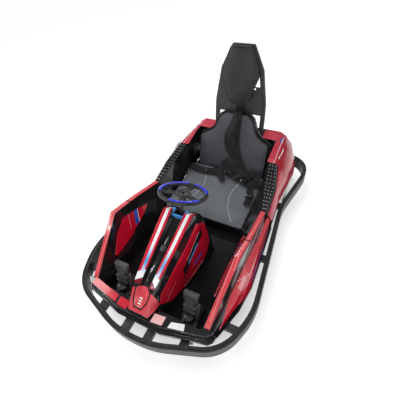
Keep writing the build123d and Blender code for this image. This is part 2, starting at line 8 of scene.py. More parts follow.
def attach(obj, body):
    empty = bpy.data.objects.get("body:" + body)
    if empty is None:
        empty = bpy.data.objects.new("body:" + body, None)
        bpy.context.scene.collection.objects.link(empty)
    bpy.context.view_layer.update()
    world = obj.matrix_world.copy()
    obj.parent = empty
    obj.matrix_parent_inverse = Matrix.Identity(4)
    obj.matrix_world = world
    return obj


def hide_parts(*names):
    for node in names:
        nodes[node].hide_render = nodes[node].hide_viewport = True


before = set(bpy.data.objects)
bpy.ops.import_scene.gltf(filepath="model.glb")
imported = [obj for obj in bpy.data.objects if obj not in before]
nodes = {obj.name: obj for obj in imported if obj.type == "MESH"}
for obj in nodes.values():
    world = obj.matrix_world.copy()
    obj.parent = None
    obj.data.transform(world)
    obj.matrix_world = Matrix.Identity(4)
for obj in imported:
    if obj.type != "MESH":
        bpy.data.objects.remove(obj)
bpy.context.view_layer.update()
scene = bpy.context.scene
scene.view_settings.view_transform = "Standard"


def moved(x, y, z):
    return Matrix.Translation((x, y, z))


def turned(degrees, axis):
    return Matrix.Rotation(radians(degrees), 4, axis)


# Camera, solved from the photo's paired features
photoView = {"place": (0.673, -1.033, 1.730), "yaw": 32.3, "pitch": 47.7, "roll": -8.5, "lens": 26.5,
             "reach": 50}


def placeCamera():
    data = bpy.data.cameras.new("photoCamera")
    data.lens = photoView["lens"]
    data.clip_end = photoView["reach"]
    camera = bpy.data.objects.new("photoCamera", data)
    scene.collection.objects.link(camera)
    tip = Matrix.Rotation(pi / 2 - radians(photoView["pitch"]), 4, "X")
    turn = turned(photoView["yaw"], "Z") @ tip @ turned(photoView["roll"], "Z")
    camera.matrix_world = Matrix.Translation(photoView["place"]) @ turn
    scene.camera = camera


placeCamera()
print("camera placed")


# Shader groups, each built once
groupLooks = {
    "grain": {"scale": 900.0, "patch": 9.0, "cells": 0.6, "fineDetail": 2.0, "patchDetail": 5.0,
              "patchRough": 0.62, "tone": (0.32, 0.68)},
    "dust": {"amount": 0.2, "facesUp": (0.2, 1.0), "patchScale": 14.0, "patchDetail": 6.0,
             "patchRough": 0.7, "patches": (0.35, 0.75)},
    "scuff": {"amount": 0.3, "stretch": (160, 9, 160), "turn": (0.1, 0.2, 0.35), "detail": 2.0,
              "lines": (0.62, 0.72)},
    "weave": {"pitch": 0.0022, "ribs": 0.5, "picks": 0.3},
}


def openGroup(name, inputs, outputs):
    # an input of None is a vector, a number is a value's default
    group = bpy.data.node_groups.new(name, "ShaderNodeTree")
    for label, value in inputs.items():
        kind = "NodeSocketVector" if value is None else "NodeSocketFloat"
        socket = group.interface.new_socket(label, in_out="INPUT", socket_type=kind)
        if value is not None:
            socket.default_value = value
    for label in outputs:
        group.interface.new_socket(label, in_out="OUTPUT", socket_type="NodeSocketFloat")
    return group, group.nodes.new("NodeGroupInput").outputs, group.nodes.new("NodeGroupOutput").inputs


def feed(tree, value, socket):
    # numbers and colours are set on the socket, anything else is wired to it
    if isinstance(value, (int, float)):
        socket.default_value = value
    elif isinstance(value, tuple):
        socket.default_value = (*value, 1.0)
    else:
        tree.links.new(value, socket)


def mathNode(tree, operation, *values):
    node = tree.nodes.new("ShaderNodeMath")
    node.operation = operation
    for value, socket in zip(values, node.inputs):
        feed(tree, value, socket)
    return node.outputs[0]


def rangeNode(tree, value, low, high, newLow=0.0, newHigh=1.0, smooth=True):
    node = tree.nodes.new("ShaderNodeMapRange")
    node.interpolation_type = "SMOOTHSTEP" if smooth else "LINEAR"
    ends = {"Value": value, "From Min": low, "From Max": high, "To Min": newLow, "To Max": newHigh}
    for label, end in ends.items():
        feed(tree, end, node.inputs[label])
    return node.outputs["Result"]


def noiseNode(tree, vector, scale, detail, rough=0.55):
    node = tree.nodes.new("ShaderNodeTexNoise")
    for label, value in (("Vector", vector), ("Scale", scale), ("Detail", detail), ("Roughness", rough)):
        feed(tree, value, node.inputs[label])
    return node.outputs["Fac"]


def splitNode(tree, vector):
    node = tree.nodes.new("ShaderNodeSeparateXYZ")
    tree.links.new(vector, node.inputs[0])
    return node.outputs


def buildGrain():
    # fine moulded or leather grain, with a slow change of tone
    look = groupLooks["grain"]
    inputs = {"Vector": None, "Scale": look["scale"], "Patch": look["patch"]}
    tree, start, end = openGroup("surfaceGrain", inputs, ("Height", "Tone"))
    cells = tree.nodes.new("ShaderNodeTexVoronoi")
    for label in ("Vector", "Scale"):
        tree.links.new(start[label], cells.inputs[label])
    fine = noiseNode(tree, start["Vector"], start["Scale"], look["fineDetail"])
    feed(tree, mathNode(tree, "MULTIPLY_ADD", cells.outputs["Distance"], look["cells"], fine), end["Height"])
    tone = noiseNode(tree, start["Vector"], start["Patch"], look["patchDetail"], look["patchRough"])
    feed(tree, rangeNode(tree, tone, *look["tone"]), end["Tone"])
    return tree


def buildDust():
    # a thin film that lies on faces that look up
    look = groupLooks["dust"]
    tree, start, end = openGroup("settledDust", {"Vector": None, "Amount": look["amount"]}, ("Mask",))
    up = splitNode(tree, tree.nodes.new("ShaderNodeNewGeometry").outputs["Normal"])["Z"]
    film = rangeNode(tree, up, *look["facesUp"])
    cloud = noiseNode(tree, start["Vector"], look["patchScale"], look["patchDetail"], look["patchRough"])
    film = mathNode(tree, "MULTIPLY", film, rangeNode(tree, cloud, *look["patches"]))
    feed(tree, mathNode(tree, "MULTIPLY", film, start["Amount"]), end["Mask"])
    return tree


def buildScuff():
    # hairline scuffs drawn out along the kart
    look = groupLooks["scuff"]
    tree, start, end = openGroup("hairScuffs", {"Vector": None, "Amount": look["amount"]}, ("Mask",))
    stretch = tree.nodes.new("ShaderNodeMapping")
    stretch.inputs["Scale"].default_value = look["stretch"]
    stretch.inputs["Rotation"].default_value = look["turn"]
    tree.links.new(start["Vector"], stretch.inputs["Vector"])
    lines = rangeNode(tree, noiseNode(tree, stretch.outputs[0], 1.0, look["detail"]), *look["lines"])
    feed(tree, mathNode(tree, "MULTIPLY", lines, start["Amount"]), end["Mask"])
    return tree


def buildBar():
    # a printed bar on a plane of two coordinates
    inputs = {"U": 0.0, "V": 0.0, "Centre U": 0.0, "Centre V": 0.0, "Angle": 0.0, "Length": 0.1,
              "Width": 0.01, "Lean": 0.0}
    tree, start, end = openGroup("printedBar", inputs, ("Mask",))

    def product(a, b):
        return mathNode(tree, "MULTIPLY", a, b)

    du = mathNode(tree, "SUBTRACT", start["U"], start["Centre U"])
    dv = mathNode(tree, "SUBTRACT", start["V"], start["Centre V"])
    turnC, turnS = (mathNode(tree, operation, start["Angle"]) for operation in ("COSINE", "SINE"))
    along = mathNode(tree, "ADD", product(du, turnC), product(dv, turnS))
    across = mathNode(tree, "SUBTRACT", product(dv, turnC), product(du, turnS))
    along = mathNode(tree, "MULTIPLY_ADD", across, start["Lean"], along)
    inside = [mathNode(tree, "LESS_THAN", mathNode(tree, "ABSOLUTE", distance), product(start[side], 0.5))
              for distance, side in ((along, "Length"), (across, "Width"))]
    feed(tree, product(*inside), end["Mask"])
    return tree


def buildWeave():
    # flat webbing: ribs along the strap, picks across it, from the strap's own UV in metres
    look = groupLooks["weave"]
    tree, start, end = openGroup("strapWeave", {"UV": None, "Pitch": look["pitch"]}, ("Height", "Tone"))
    split = splitNode(tree, start["UV"])
    turns = [mathNode(tree, "DIVIDE", split[axis], start["Pitch"]) for axis in ("X", "Y")]
    ribs, picks = (mathNode(tree, "SINE", mathNode(tree, "MULTIPLY", turn, 2 * pi)) for turn in turns)
    picksHeight = mathNode(tree, "MULTIPLY", picks, look["picks"])
    feed(tree, mathNode(tree, "MULTIPLY_ADD", ribs, look["ribs"], picksHeight), end["Height"])
    both = mathNode(tree, "MULTIPLY", ribs, picks)
    feed(tree, rangeNode(tree, both, -1.0, 1.0, smooth=False), end["Tone"])
    return tree


grainGroup, dustGroup, scuffGroup = buildGrain(), buildDust(), buildScuff()
barGroup, weaveGroup = buildBar(), buildWeave()
print("shader groups built")


# Materials

def mixColor(tree, mask, first, second):
    node = tree.nodes.new("ShaderNodeMix")
    node.data_type = "RGBA"
    tree.links.new(mask, node.inputs["Factor"])
    feed(tree, first, node.inputs[6])  # the colour sockets of a mix node
    feed(tree, second, node.inputs[7])
    return node.outputs[2]


def placeGroup(tree, group, values):
    node = tree.nodes.new("ShaderNodeGroup")
    node.node_tree = group
    for label, value in values.items():
        feed(tree, value, node.inputs[label])
    return node.outputs


def finish(first, second, rough, grain, dust, scuff, metal=0.0, coat=0.0, shine=0.5):
    # two tones, roughness low and high, grain scale and depth, film of dust, hairline scuffs
    return {"tones": (first, second), "rough": rough, "grain": grain, "dust": dust, "scuff": scuff,
            "metal": metal, "coat": coat, "shine": shine}


def panelPaint(first, second, rough, dust=0.03, coat=0.35):
    return finish(first, second, rough, (600, 0.015), dust, 0.4, coat=coat)


def vinyl(first, second, rough, dust):
    return finish(first, second, rough, (520, 0.34), dust, 0.1, shine=0.3)


finishes = {
    "bodyGloss": finish((0.0075, 0.0078, 0.0088), (0.012, 0.0125, 0.014), (0.07, 0.16), (700, 0.012),
                        0.02, 0.35, coat=0.55),
    "armBlack": finish((0.0065, 0.0068, 0.0078), (0.0105, 0.011, 0.0125), (0.22, 0.36), (800, 0.06),
                       0.02, 0.4, shine=0.35),
    "bumperRubber": finish((0.026, 0.0265, 0.027), (0.040, 0.0405, 0.041), (0.34, 0.48), (1100, 0.14),
                           0.05, 0.45, shine=0.22),
    "stubRubber": finish((0.036, 0.037, 0.040), (0.055, 0.056, 0.060), (0.42, 0.58), (900, 0.16), 0.12, 0.3),
    "framePaint": finish((0.020, 0.020, 0.022), (0.034, 0.034, 0.036), (0.34, 0.5), (500, 0.12), 0.16, 0.5),
    "panPlastic": finish((0.0035, 0.0038, 0.0048), (0.0065, 0.0068, 0.0082), (0.34, 0.5), (800, 0.22),
                         0.01, 0.5, shine=0.18),
    "panelRed": panelPaint((0.50, 0.0045, 0.022), (0.59, 0.008, 0.031), (0.13, 0.24)),
    "panelWhite": panelPaint((0.76, 0.76, 0.78), (0.86, 0.86, 0.87), (0.16, 0.28), 0.04, 0.3),
    "coralRed": panelPaint((0.58, 0.040, 0.055), (0.66, 0.062, 0.078), (0.16, 0.28), 0.04),
    "fenderCoral": panelPaint((0.46, 0.030, 0.055), (0.53, 0.048, 0.075), (0.13, 0.24), 0.04),
    "darkRed": panelPaint((0.16, 0.003, 0.012), (0.22, 0.005, 0.018), (0.16, 0.28), coat=0.3),
    "palePink": panelPaint((0.84, 0.46, 0.47), (0.90, 0.58, 0.58), (0.14, 0.24), coat=0.3),
    "blueTrim": finish((0.05, 0.27, 0.74), (0.08, 0.36, 0.84), (0.18, 0.3), (700, 0.02), 0.03, 0.3, coat=0.3),
    "blueLens": finish((0.018, 0.022, 0.50), (0.045, 0.07, 0.72), (0.10, 0.2), (400, 0.02), 0.02, 0.2,
                       coat=0.6),
    "pedalGrey": finish((0.048, 0.049, 0.052), (0.074, 0.075, 0.079), (0.36, 0.52), (900, 0.16), 0.1, 0.5),
    "bracketZinc": finish((0.17, 0.175, 0.18), (0.25, 0.255, 0.26), (0.34, 0.5), (300, 0.05), 0.08, 0.6, 0.4),
    "headrestSteel": finish((0.027, 0.0278, 0.0295), (0.040, 0.041, 0.043), (0.40, 0.54), (1300, 0.24),
                            0.08, 0.25),
    "gripBlack": finish((0.010, 0.0105, 0.012), (0.018, 0.0185, 0.020), (0.36, 0.5), (1500, 0.2), 0.05, 0.2),
    "hubGrey": finish((0.05, 0.052, 0.055), (0.075, 0.077, 0.08), (0.32, 0.46), (900, 0.1), 0.05, 0.4, 0.3),
    "steelBare": finish((0.42, 0.42, 0.43), (0.56, 0.56, 0.57), (0.24, 0.4), (250, 0.04), 0.06, 0.8, 1.0),
    # painted highlight: the studs' pale tone stands in for the bright specks of light reflected off them
    "studPale": finish((0.46, 0.46, 0.47), (0.62, 0.62, 0.63), (0.22, 0.36), (400, 0.02), 0.04, 0.3, 0.3),
    "tyreBlack": finish((0.014, 0.014, 0.0145), (0.026, 0.026, 0.026), (0.42, 0.62), (700, 0.2), 0.3, 0.8),
    "rimCast": finish((0.20, 0.20, 0.205), (0.28, 0.28, 0.285), (0.34, 0.5), (420, 0.08), 0.12, 0.4, 0.8),
    "batteryCase": finish((0.02, 0.02, 0.021), (0.032, 0.032, 0.033), (0.5, 0.66), (500, 0.2), 0.18, 0.3),
    "buckleBlack": finish((0.008, 0.008, 0.0085), (0.014, 0.014, 0.015), (0.12, 0.24), (900, 0.04),
                          0.03, 0.4, coat=0.6),
    "seatVinyl": vinyl((0.094, 0.102, 0.114), (0.122, 0.131, 0.144), (0.36, 0.5), 0.05),
    "backVinyl": vinyl((0.050, 0.0535, 0.061), (0.066, 0.070, 0.079), (0.40, 0.54), 0.04),
    "headVinyl": vinyl((0.020, 0.0213, 0.0245), (0.029, 0.031, 0.0345), (0.42, 0.56), 0.03),
    "stitchThread": finish((0.34, 0.35, 0.36), (0.46, 0.47, 0.48), (0.6, 0.75), (1600, 0.4), 0.02, 0.0),
}
finishCommon = {"dust": (0.30, 0.29, 0.27), "fullyWorn": 1.4, "grainDepth": 0.0006, "coatRough": 0.04}
materials = {}


def startMaterial(name):
    material = bpy.data.materials.new(name)
    material.use_nodes = True
    materials[name] = material
    tree = material.node_tree
    return tree, tree.nodes["Principled BSDF"].inputs


def objectPlace(tree):
    return tree.nodes.new("ShaderNodeTexCoord").outputs["Object"]


def addBump(tree, shader, height, strength, distance):
    bump = tree.nodes.new("ShaderNodeBump")
    bump.inputs["Strength"].default_value = strength
    bump.inputs["Distance"].default_value = distance
    tree.links.new(height, bump.inputs["Height"])
    tree.links.new(bump.outputs["Normal"], shader["Normal"])


def addCoat(shader, weight):
    shader["Coat Weight"].default_value = weight
    shader["Coat Roughness"].default_value = finishCommon["coatRough"]


def makeFinish(name, like=None, bars=(), plane="YZ", fold=False):
    # bars are printed over the colour; fold prints them on both sides of the kart
    look = finishes[like or name]
    grainScale, grainDepth = look["grain"]
    tree, shader = startMaterial(name)
    place = objectPlace(tree)
    grain = placeGroup(tree, grainGroup, {"Vector": place, "Scale": float(grainScale)})
    dust = placeGroup(tree, dustGroup, {"Vector": place, "Amount": look["dust"]})["Mask"]
    scuff = placeGroup(tree, scuffGroup, {"Vector": place, "Amount": look["scuff"]})["Mask"]
    color = mixColor(tree, grain["Tone"], *look["tones"])
    if bars:
        split = splitNode(tree, place)
        u, v = split[plane[0]], split[plane[1]]
        if fold:
            u = mathNode(tree, "ABSOLUTE", u)
        for ink, form in bars:
            color = mixColor(tree, placeGroup(tree, barGroup, {"U": u, "V": v, **form})["Mask"], color, ink)
    feed(tree, mixColor(tree, dust, color, finishCommon["dust"]), shader["Base Color"])
    worn = mathNode(tree, "ADD", grain["Tone"], mathNode(tree, "ADD", scuff, dust))
    rough = rangeNode(tree, worn, 0.0, finishCommon["fullyWorn"], *look["rough"], smooth=False)
    feed(tree, rough, shader["Roughness"])
    addBump(tree, shader, grain["Height"], grainDepth, finishCommon["grainDepth"])
    shader["Metallic"].default_value = look["metal"]
    shader["Specular IOR Level"].default_value = look["shine"]
    addCoat(shader, look["coat"])


inkBlack, inkBlue, inkSky = (0.010, 0.010, 0.012), (0.02, 0.09, 0.48), (0.10, 0.34, 0.72)
inkWhite, inkCoral, inkCrimson = (0.80, 0.80, 0.82), (0.66, 0.06, 0.07), (0.37, 0.004, 0.018)
inkPale, inkBlush = (0.78, 0.34, 0.36), (0.76, 0.30, 0.32)


def bar(u, v, angle, length, width, ink, lean=0.0):
    return ink, {"Centre U": u, "Centre V": v, "Angle": radians(angle), "Length": length, "Width": width,
                 "Lean": lean}


# Printed panels: sides are laid out on (y, z), tops on (x, y)
prints = {
    "consoleRed": {"like": "panelRed", "bars": [
        bar(-0.315, 0.322, 27, 0.25, 0.044, inkBlack, -0.7),
        bar(-0.315, 0.306, 22, 0.125, 0.015, inkSky, -0.7),
        bar(-0.30, 0.353, 27, 0.17, 0.0035, inkWhite),
        bar(-0.40, 0.240, 29, 0.10, 0.016, inkBlack, -0.7),
        bar(-0.295, 0.226, 10, 0.085, 0.017, inkBlue, -0.7),
        bar(-0.345, 0.186, 6, 0.20, 0.004, inkBlack),
        bar(-0.54, 0.246, 30, 0.12, 0.003, inkPale),
        bar(-0.36, 0.160, 2, 0.20, 0.003, inkWhite),
    ]},
    "podInnerRed": {"like": "panelRed", "bars": [
        bar(-0.205, 0.318, 56, 0.11, 0.032, inkBlue, 0.3),
        bar(-0.180, 0.322, 56, 0.14, 0.004, inkWhite),
        bar(-0.275, 0.330, 62, 0.09, 0.003, inkPale),
        bar(-0.10, 0.30, 56, 0.3, 0.07, inkCoral),
    ]},
    "podOuterRed": {"like": "panelRed", "bars": [
        bar(-0.21, 0.236, 0, 0.22, 0.014, inkBlue, 0.6),
        bar(-0.42, 0.236, 24, 0.16, 0.003, inkPale),
    ]},
    # painted highlight: the same red panel made coral on its upper facet, where light from above falls on it
    "podCoral": {"like": "coralRed", "bars": [
        bar(-0.375, 0.302, 24, 0.07, 0.030, inkBlush, -0.4),
        bar(-0.24, 0.308, -8, 0.30, 0.0035, inkPale),
    ]},
    "capRed": {"like": "coralRed", "plane": "XY", "fold": True, "bars": [
        bar(0.3755, -0.36, 86, 0.50, 0.0026, inkBlush),
        bar(0.394, -0.18, 90, 0.40, 0.0026, inkBlush),
        bar(0.391, -0.182, 0, 0.08, 0.009, inkBlack),
    ]},
    "fenderRed": {"like": "fenderCoral", "plane": "XY", "fold": True, "bars": [
        bar(0.382, 0.60, 92, 0.34, 0.075, inkCrimson, 0.2),
        bar(0.338, 0.60, 92, 0.30, 0.0025, inkWhite),
        bar(0.362, 0.60, 92, 0.08, 0.005, inkWhite),
        bar(0.360, 0.535, 92, 0.034, 0.006, inkWhite),
        bar(0.328, 0.70, 92, 0.06, 0.010, inkBlue, 0.4),
        bar(0.336, 0.70, 92, 0.06, 0.004, inkWhite, 0.4),
    ]},
    "badgeRed": {"like": "coralRed", "plane": "XY", "bars": [
        bar(0.0, y, 0, 0.017, 0.006, inkWhite, 0.3) for y in (-0.684, -0.672, -0.660)
    ]},
}

for name in finishes:
    makeFinish(name)
for name, look in prints.items():
    makeFinish(name, **look)

# White of the console's ridges, which turns to sky blue towards the nose and back to white at its end
ridgeWhite = {"sky": (0.07, 0.33, 0.68), "skyFrom": (-0.40, -0.50), "skyTo": (-0.575, -0.50), "grain": 600.0,
              "rough": (0.16, 0.28), "coat": 0.3}


def makeRidgeWhite():
    tree, shader = startMaterial("ridgeWhite")
    place = objectPlace(tree)
    tone = placeGroup(tree, grainGroup, {"Vector": place, "Scale": ridgeWhite["grain"]})["Tone"]
    y = splitNode(tree, place)["Y"]
    sky = mixColor(tree, rangeNode(tree, y, *ridgeWhite["skyTo"]), inkWhite, ridgeWhite["sky"])
    white = mixColor(tree, tone, *finishes["panelWhite"]["tones"])
    feed(tree, mixColor(tree, rangeNode(tree, y, *ridgeWhite["skyFrom"]), white, sky), shader["Base Color"])
    feed(tree, rangeNode(tree, tone, 0.0, 1.0, *ridgeWhite["rough"]), shader["Roughness"])
    addCoat(shader, ridgeWhite["coat"])


webbing = {"tones": ((0.0060, 0.0062, 0.0070), (0.018, 0.0185, 0.0205)), "rough": (0.5, 0.72), "bump": 0.6,
           "depth": 0.0005, "shine": 0.3, "uv": "strapUV"}


def makeWebbing():
    tree, shader = startMaterial("webbing")
    uv = tree.nodes.new("ShaderNodeUVMap")
    uv.uv_map = webbing["uv"]
    weave = placeGroup(tree, weaveGroup, {"UV": uv.outputs[0]})
    feed(tree, mixColor(tree, weave["Tone"], *webbing["tones"]), shader["Base Color"])
    feed(tree, rangeNode(tree, weave["Tone"], 0.0, 1.0, *webbing["rough"]), shader["Roughness"])
    addBump(tree, shader, weave["Height"], webbing["bump"], webbing["depth"])
    shader["Specular IOR Level"].default_value = webbing["shine"]


makeRidgeWhite()
makeWebbing()
print("materials made:", len(materials))


# Mesh helpers
meshTidy = {"merge": 0.00002, "flat": 0.6, "probe": 0.0001}  # metres, degrees, metres
creaseAngle = 28
panelEdge = 0.0012
looksUp = 0.9
studForm = {"height": 0.003, "top": 0.6, "proud": 0.001}


def cadCopy(node, halves=False, flatten=True):
    # halves: left and right solids that touch are merged each by itself
    bm = bmesh.new()
    bm.from_mesh(nodes[node].data)
    for sign in (-1, 1) if halves else (0,):
        own = []
        for vert in bm.verts:
            face = vert.link_faces[0]
            behind = face.calc_center_median() - face.normal * meshTidy["probe"]
            if behind.x * sign >= 0:
                own.append(vert)
        bmesh.ops.remove_doubles(bm, verts=own, dist=meshTidy["merge"])
    if flatten:
        bmesh.ops.dissolve_limit(bm, angle_limit=radians(meshTidy["flat"]), verts=bm.verts, edges=bm.edges)
    return bm


def meshObject(name, bm):
    mesh = bpy.data.meshes.new(name)
    bm.to_mesh(mesh)
    bm.free()
    obj = bpy.data.objects.new(name, mesh)
    scene.collection.objects.link(obj)
    return obj


def finishPiece(name, bm, finishNames, replaced=(), body="chassis", edge=0.0, segments=2,
                crease=creaseAngle):
    obj = meshObject(name, bm)
    for finishName in finishNames:
        obj.data.materials.append(materials[finishName])
    obj.data.shade_smooth()
    obj.data.set_sharp_from_angle(angle=radians(crease))
    if edge:
        rounding = obj.modifiers.new("edges", "BEVEL")
        rounding.width = edge
        rounding.segments = segments
        rounding.limit_method = "ANGLE"
        rounding.angle_limit = radians(crease)
        rounding.harden_normals = True
        rounding.use_clamp_overlap = True
    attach(obj, body)
    if replaced:
        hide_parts(*replaced)


def addBlock(bm, size, matrix):
    return bmesh.ops.create_cube(bm, size=1.0, matrix=matrix @ Matrix.Diagonal((*size, 1.0)))["verts"]


def addDisc(bm, radius, height, matrix, sides, top=None):
    return bmesh.ops.create_cone(bm, cap_ends=True, segments=sides, radius1=radius,
                                 radius2=radius if top is None else top, depth=height, matrix=matrix)["verts"]


def addStud(bm, radius, matrix, sides):
    return addDisc(bm, radius, studForm["height"], matrix, sides, radius * studForm["top"])


def onRing(k, count):
    return Matrix.Rotation(2 * pi * k / count, 4, "Z")


def sharpEdges(bm, angle):
    return [e for e in bm.edges if len(e.link_faces) == 2 and e.calc_face_angle(0) > radians(angle)]


def bevelEdges(bm, edges, width, segments):
    bmesh.ops.bevel(bm, geom=edges, offset=width, affect="EDGES", segments=segments, profile=0.5, material=-1,
                    clamp_overlap=True)


def roundEdges(bm, width, segments=2, angle=30):
    bevelEdges(bm, sharpEdges(bm, angle), width, segments)


def facesOf(verts):
    return {f for v in verts for f in v.link_faces}


def paint(verts, index):
    for face in facesOf(verts):
        face.material_index = index


def sinkTop(bm, verts, rim, depth):
    top = [f for f in facesOf(verts) if f.normal.z > looksUp]
    bmesh.ops.inset_region(bm, faces=top, thickness=rim, depth=-depth)


def outwards(bm):
    bmesh.ops.recalc_face_normals(bm, faces=bm.faces)


def upwards(bm):
    outwards(bm)
    if sum(f.normal.z for f in bm.faces) < 0:
        bmesh.ops.reverse_faces(bm, faces=bm.faces)


def drawOut(bm, faces, vec):
    made = bmesh.ops.extrude_face_region(bm, geom=faces)["geom"]
    verts = [v for v in made if isinstance(v, bmesh.types.BMVert)]
    bmesh.ops.translate(bm, verts=verts, vec=vec)
    return verts


def mirrorAcross(bm):
    bmesh.ops.mirror(bm, geom=bm.verts[:] + bm.edges[:] + bm.faces[:], axis="X", merge_dist=0.0)
    outwards(bm)


def addRow(bm, row, points):
    # starts a sheet, or draws the last row's edges out to new points; gives the row and its faces in order
    if row is None:
        row = [bm.verts.new(p) for p in points]
        for pair in zip(row, row[1:]):
            bm.edges.new(pair)
        return row, []
    edges = [bm.edges.get(pair) for pair in zip(row, row[1:])]
    made = set(bmesh.ops.extrude_edge_only(bm, edges=edges)["geom"])
    fresh = [next(e.other_vert(v) for e in v.link_edges if e.other_vert(v) in made) for v in row]
    for vert, point in zip(fresh, points):
        vert.co = point
    return fresh, [next(f for f in edge.link_faces if f in made) for edge in edges]


def spinRing(bm, points, axis=(0, 0, 1), angle=None, steps=72):
    # turns a closed section round the origin, all the way if no angle is given
    verts = [bm.verts.new(p) for p in points]
    edges = [bm.edges.new(pair) for pair in zip(verts, verts[1:] + verts[:1])]
    full = angle is None
    bmesh.ops.spin(bm, geom=verts + edges, cent=(0, 0, 0), axis=axis, angle=2 * pi if full else angle,
                   steps=steps, use_merge=full)


def pieceName(node):
    first, *rest = node.split("_")
    return first + "".join(word.capitalize() for word in rest)


# Pieces that keep their solid's shape
dressed = {
    "bumper_ring": {"finish": "bumperRubber", "slot": "bumper_rubber", "edge": 0.005, "segments": 3,
                    "flatten": False},
    "bumper_stubs": {"finish": "stubRubber", "slot": "frame_steel", "edge": 0.004},
    "frame_rails frame_crosses frame_outriggers": {"finish": "framePaint", "slot": "frame_steel",
                                                   "edge": 0.003},
    "front_yokes": {"finish": "framePaint", "slot": "frame_steel", "edge": 0.0015},
    "rear_axle": {"finish": "framePaint", "slot": "frame_steel", "edge": 0.002},
    "side_pod_left side_pod_right": {"finish": "bodyGloss", "slot": "body_black", "edge": 0.0045,
                                     "segments": 3},
    "front_lip": {"finish": "bodyGloss", "slot": "body_black", "edge": 0.005, "segments": 3},
    "console": {"finish": "bodyGloss", "slot": "body_black", "edge": 0.004, "segments": 3},
    "seat_arm_left seat_arm_right": {"finish": "armBlack", "slot": "body_black", "edge": 0.005,
                                     "segments": 3},
    "seat_back_shell": {"finish": "bodyGloss", "slot": "body_black", "edge": 0.004},
    "rear_deck": {"finish": "bodyGloss", "slot": "body_black", "edge": 0.003},
    "rail_caps": {"finish": "capRed", "slot": "panel_red", "edge": panelEdge},
    "pod_inner_panels": {"finish": "podInnerRed", "slot": "panel_red", "edge": panelEdge},
    "console_panels": {"finish": "consoleRed", "slot": "panel_red", "edge": panelEdge},
    "nose_badge": {"finish": "badgeRed", "slot": "panel_red", "edge": panelEdge},
    "nose_trim": {"finish": "coralRed", "slot": "panel_red", "edge": panelEdge, "halves": True},
    "deck_panels": {"finish": "fenderRed", "slot": "panel_red", "edge": 0.001},
    "lip_inlay_white": {"finish": "panelWhite", "slot": "panel_white", "edge": panelEdge},
    "floor_pan seat_pan": {"finish": "panPlastic", "slot": "pan_black", "edge": 0.002},
    "headrest_frame": {"finish": "headrestSteel", "slot": "headrest_steel", "edge": 0.003, "segments": 3},
    "headrest_plate": {"finish": "headrestSteel", "slot": "headrest_steel", "edge": 0.001},
    "drive_motor": {"finish": "rimCast", "slot": "rim_grey", "edge": 0.003},
    "battery_pack": {"finish": "batteryCase", "slot": "battery_case", "edge": 0.004},
    "steering_column": {"finish": "framePaint", "slot": "steel_bare", "edge": 0.001, "body": "steering"},
    # each on the body of its own name
    "steering_arm track_rod knuckle_left knuckle_right": {"finish": "steelBare", "slot": "steel_bare",
                                                          "edge": 0.001, "body": None},
}


def dressSolids():
    count = 0
    for names, look in dressed.items():
        for node in names.split():
            bm = cadCopy(node, look.get("halves", False), look.get("flatten", True))
            finishPiece(pieceName(node), bm, [look["finish"]], [node],
                        look.get("body", "chassis") or node, look["edge"], look.get("segments", 2))
            count += 1
    print("solid pieces dressed:", count)


dressSolids()

# Rear fenders: red where the shell looks up or out above the skirt, black on the flanks and inside
fenderLook = {"looksUp": 0.2, "looksOut": 0.4, "redFrom": 0.29, "flank": 0.435, "shoulder": 0.27,
              "skirt": 0.215, "edge": 0.012, "edgeSegments": 4, "innerEdge": 0.0015, "roundFrom": 0.31,
              "cut": 0.00001}


def makeFender(side, sign):
    node = "rear_fender_" + side
    bm = cadCopy(node)
    bmesh.ops.bisect_plane(bm, geom=bm.verts[:] + bm.edges[:] + bm.faces[:], dist=fenderLook["cut"],
                           plane_co=(0, 0, fenderLook["skirt"]), plane_no=(0, 0, 1))
    for face in bm.faces:
        middle, normal = face.calc_center_median(), face.normal
        out = middle.x * sign
        red = normal.z > fenderLook["looksUp"] or normal.x * sign > fenderLook["looksOut"]
        red = red and out > fenderLook["redFrom"] and middle.z > fenderLook["skirt"]
        red = red and (out > fenderLook["flank"] or middle.z > fenderLook["shoulder"])
        face.material_index = 0 if red else 2 if normal.x * sign < -fenderLook["looksOut"] else 1
    outer = [e for e in sharpEdges(bm, creaseAngle)
             if min(abs(v.co.x) for v in e.verts) > fenderLook["roundFrom"]]
    bevelEdges(bm, outer, fenderLook["edge"], fenderLook["edgeSegments"])
    finishPiece(pieceName(node), bm, ["fenderRed", "bodyGloss", "armBlack"], [node],
                edge=fenderLook["innerEdge"])


for side, sign in (("left", 1), ("right", -1)):
    makeFender(side, sign)

# Outer pod panels: crimson below the crest; the upper facet is a lighter coral, a painted highlight of the
# light falling on it from above
podCrest = 0.5  # a facet whose normal rises more than this is an upper one, and gets the painted highlight


def makeOuterPanels():
    bm = cadCopy("pod_outer_panels")
    for face in bm.faces:
        face.material_index = 1 if face.normal.z > podCrest else 0
    finishPiece("podOuterPanels", bm, ["podOuterRed", "podCoral"], ["pod_outer_panels"],
                edge=panelEdge)


# Lip inlays: the driver's left one is pink
def makeInlays():
    bm = cadCopy("lip_inlays_red")
    for face in bm.faces:
        face.material_index = 1 if face.calc_center_median().x > 0 else 0
    finishPiece("lipInlays", bm, ["panelRed", "palePink"], ["lip_inlays_red"], edge=panelEdge)


makeOuterPanels()
makeInlays()

# Ridge strips on the console, in three bands across
ridgeLook = {
    # y, outer x, width, z, skew, and the bands' colours up to there: 0 red, 1 white to sky, 2 dark red
    "line": [(-0.613, 0.061, 0.034, 0.362, 0.0, ()), (-0.590, 0.0631, 0.0353, 0.3696, 0.014, (2, 2, 2)),
             (-0.548, 0.0668, 0.0377, 0.3834, 0.014, (1, 1, 1)), (-0.40, 0.080, 0.046, 0.432, 0.0, (0, 1, 0)),
             (-0.21, 0.090, 0.050, 0.500, 0.0, (0, 1, 0)), (-0.175, 0.091, 0.050, 0.472, 0.0, (0, 1, 0))],
    "bands": (0.0, 0.27, 0.66, 1.0), "thick": 0.004, "lift": 0.0006,
}


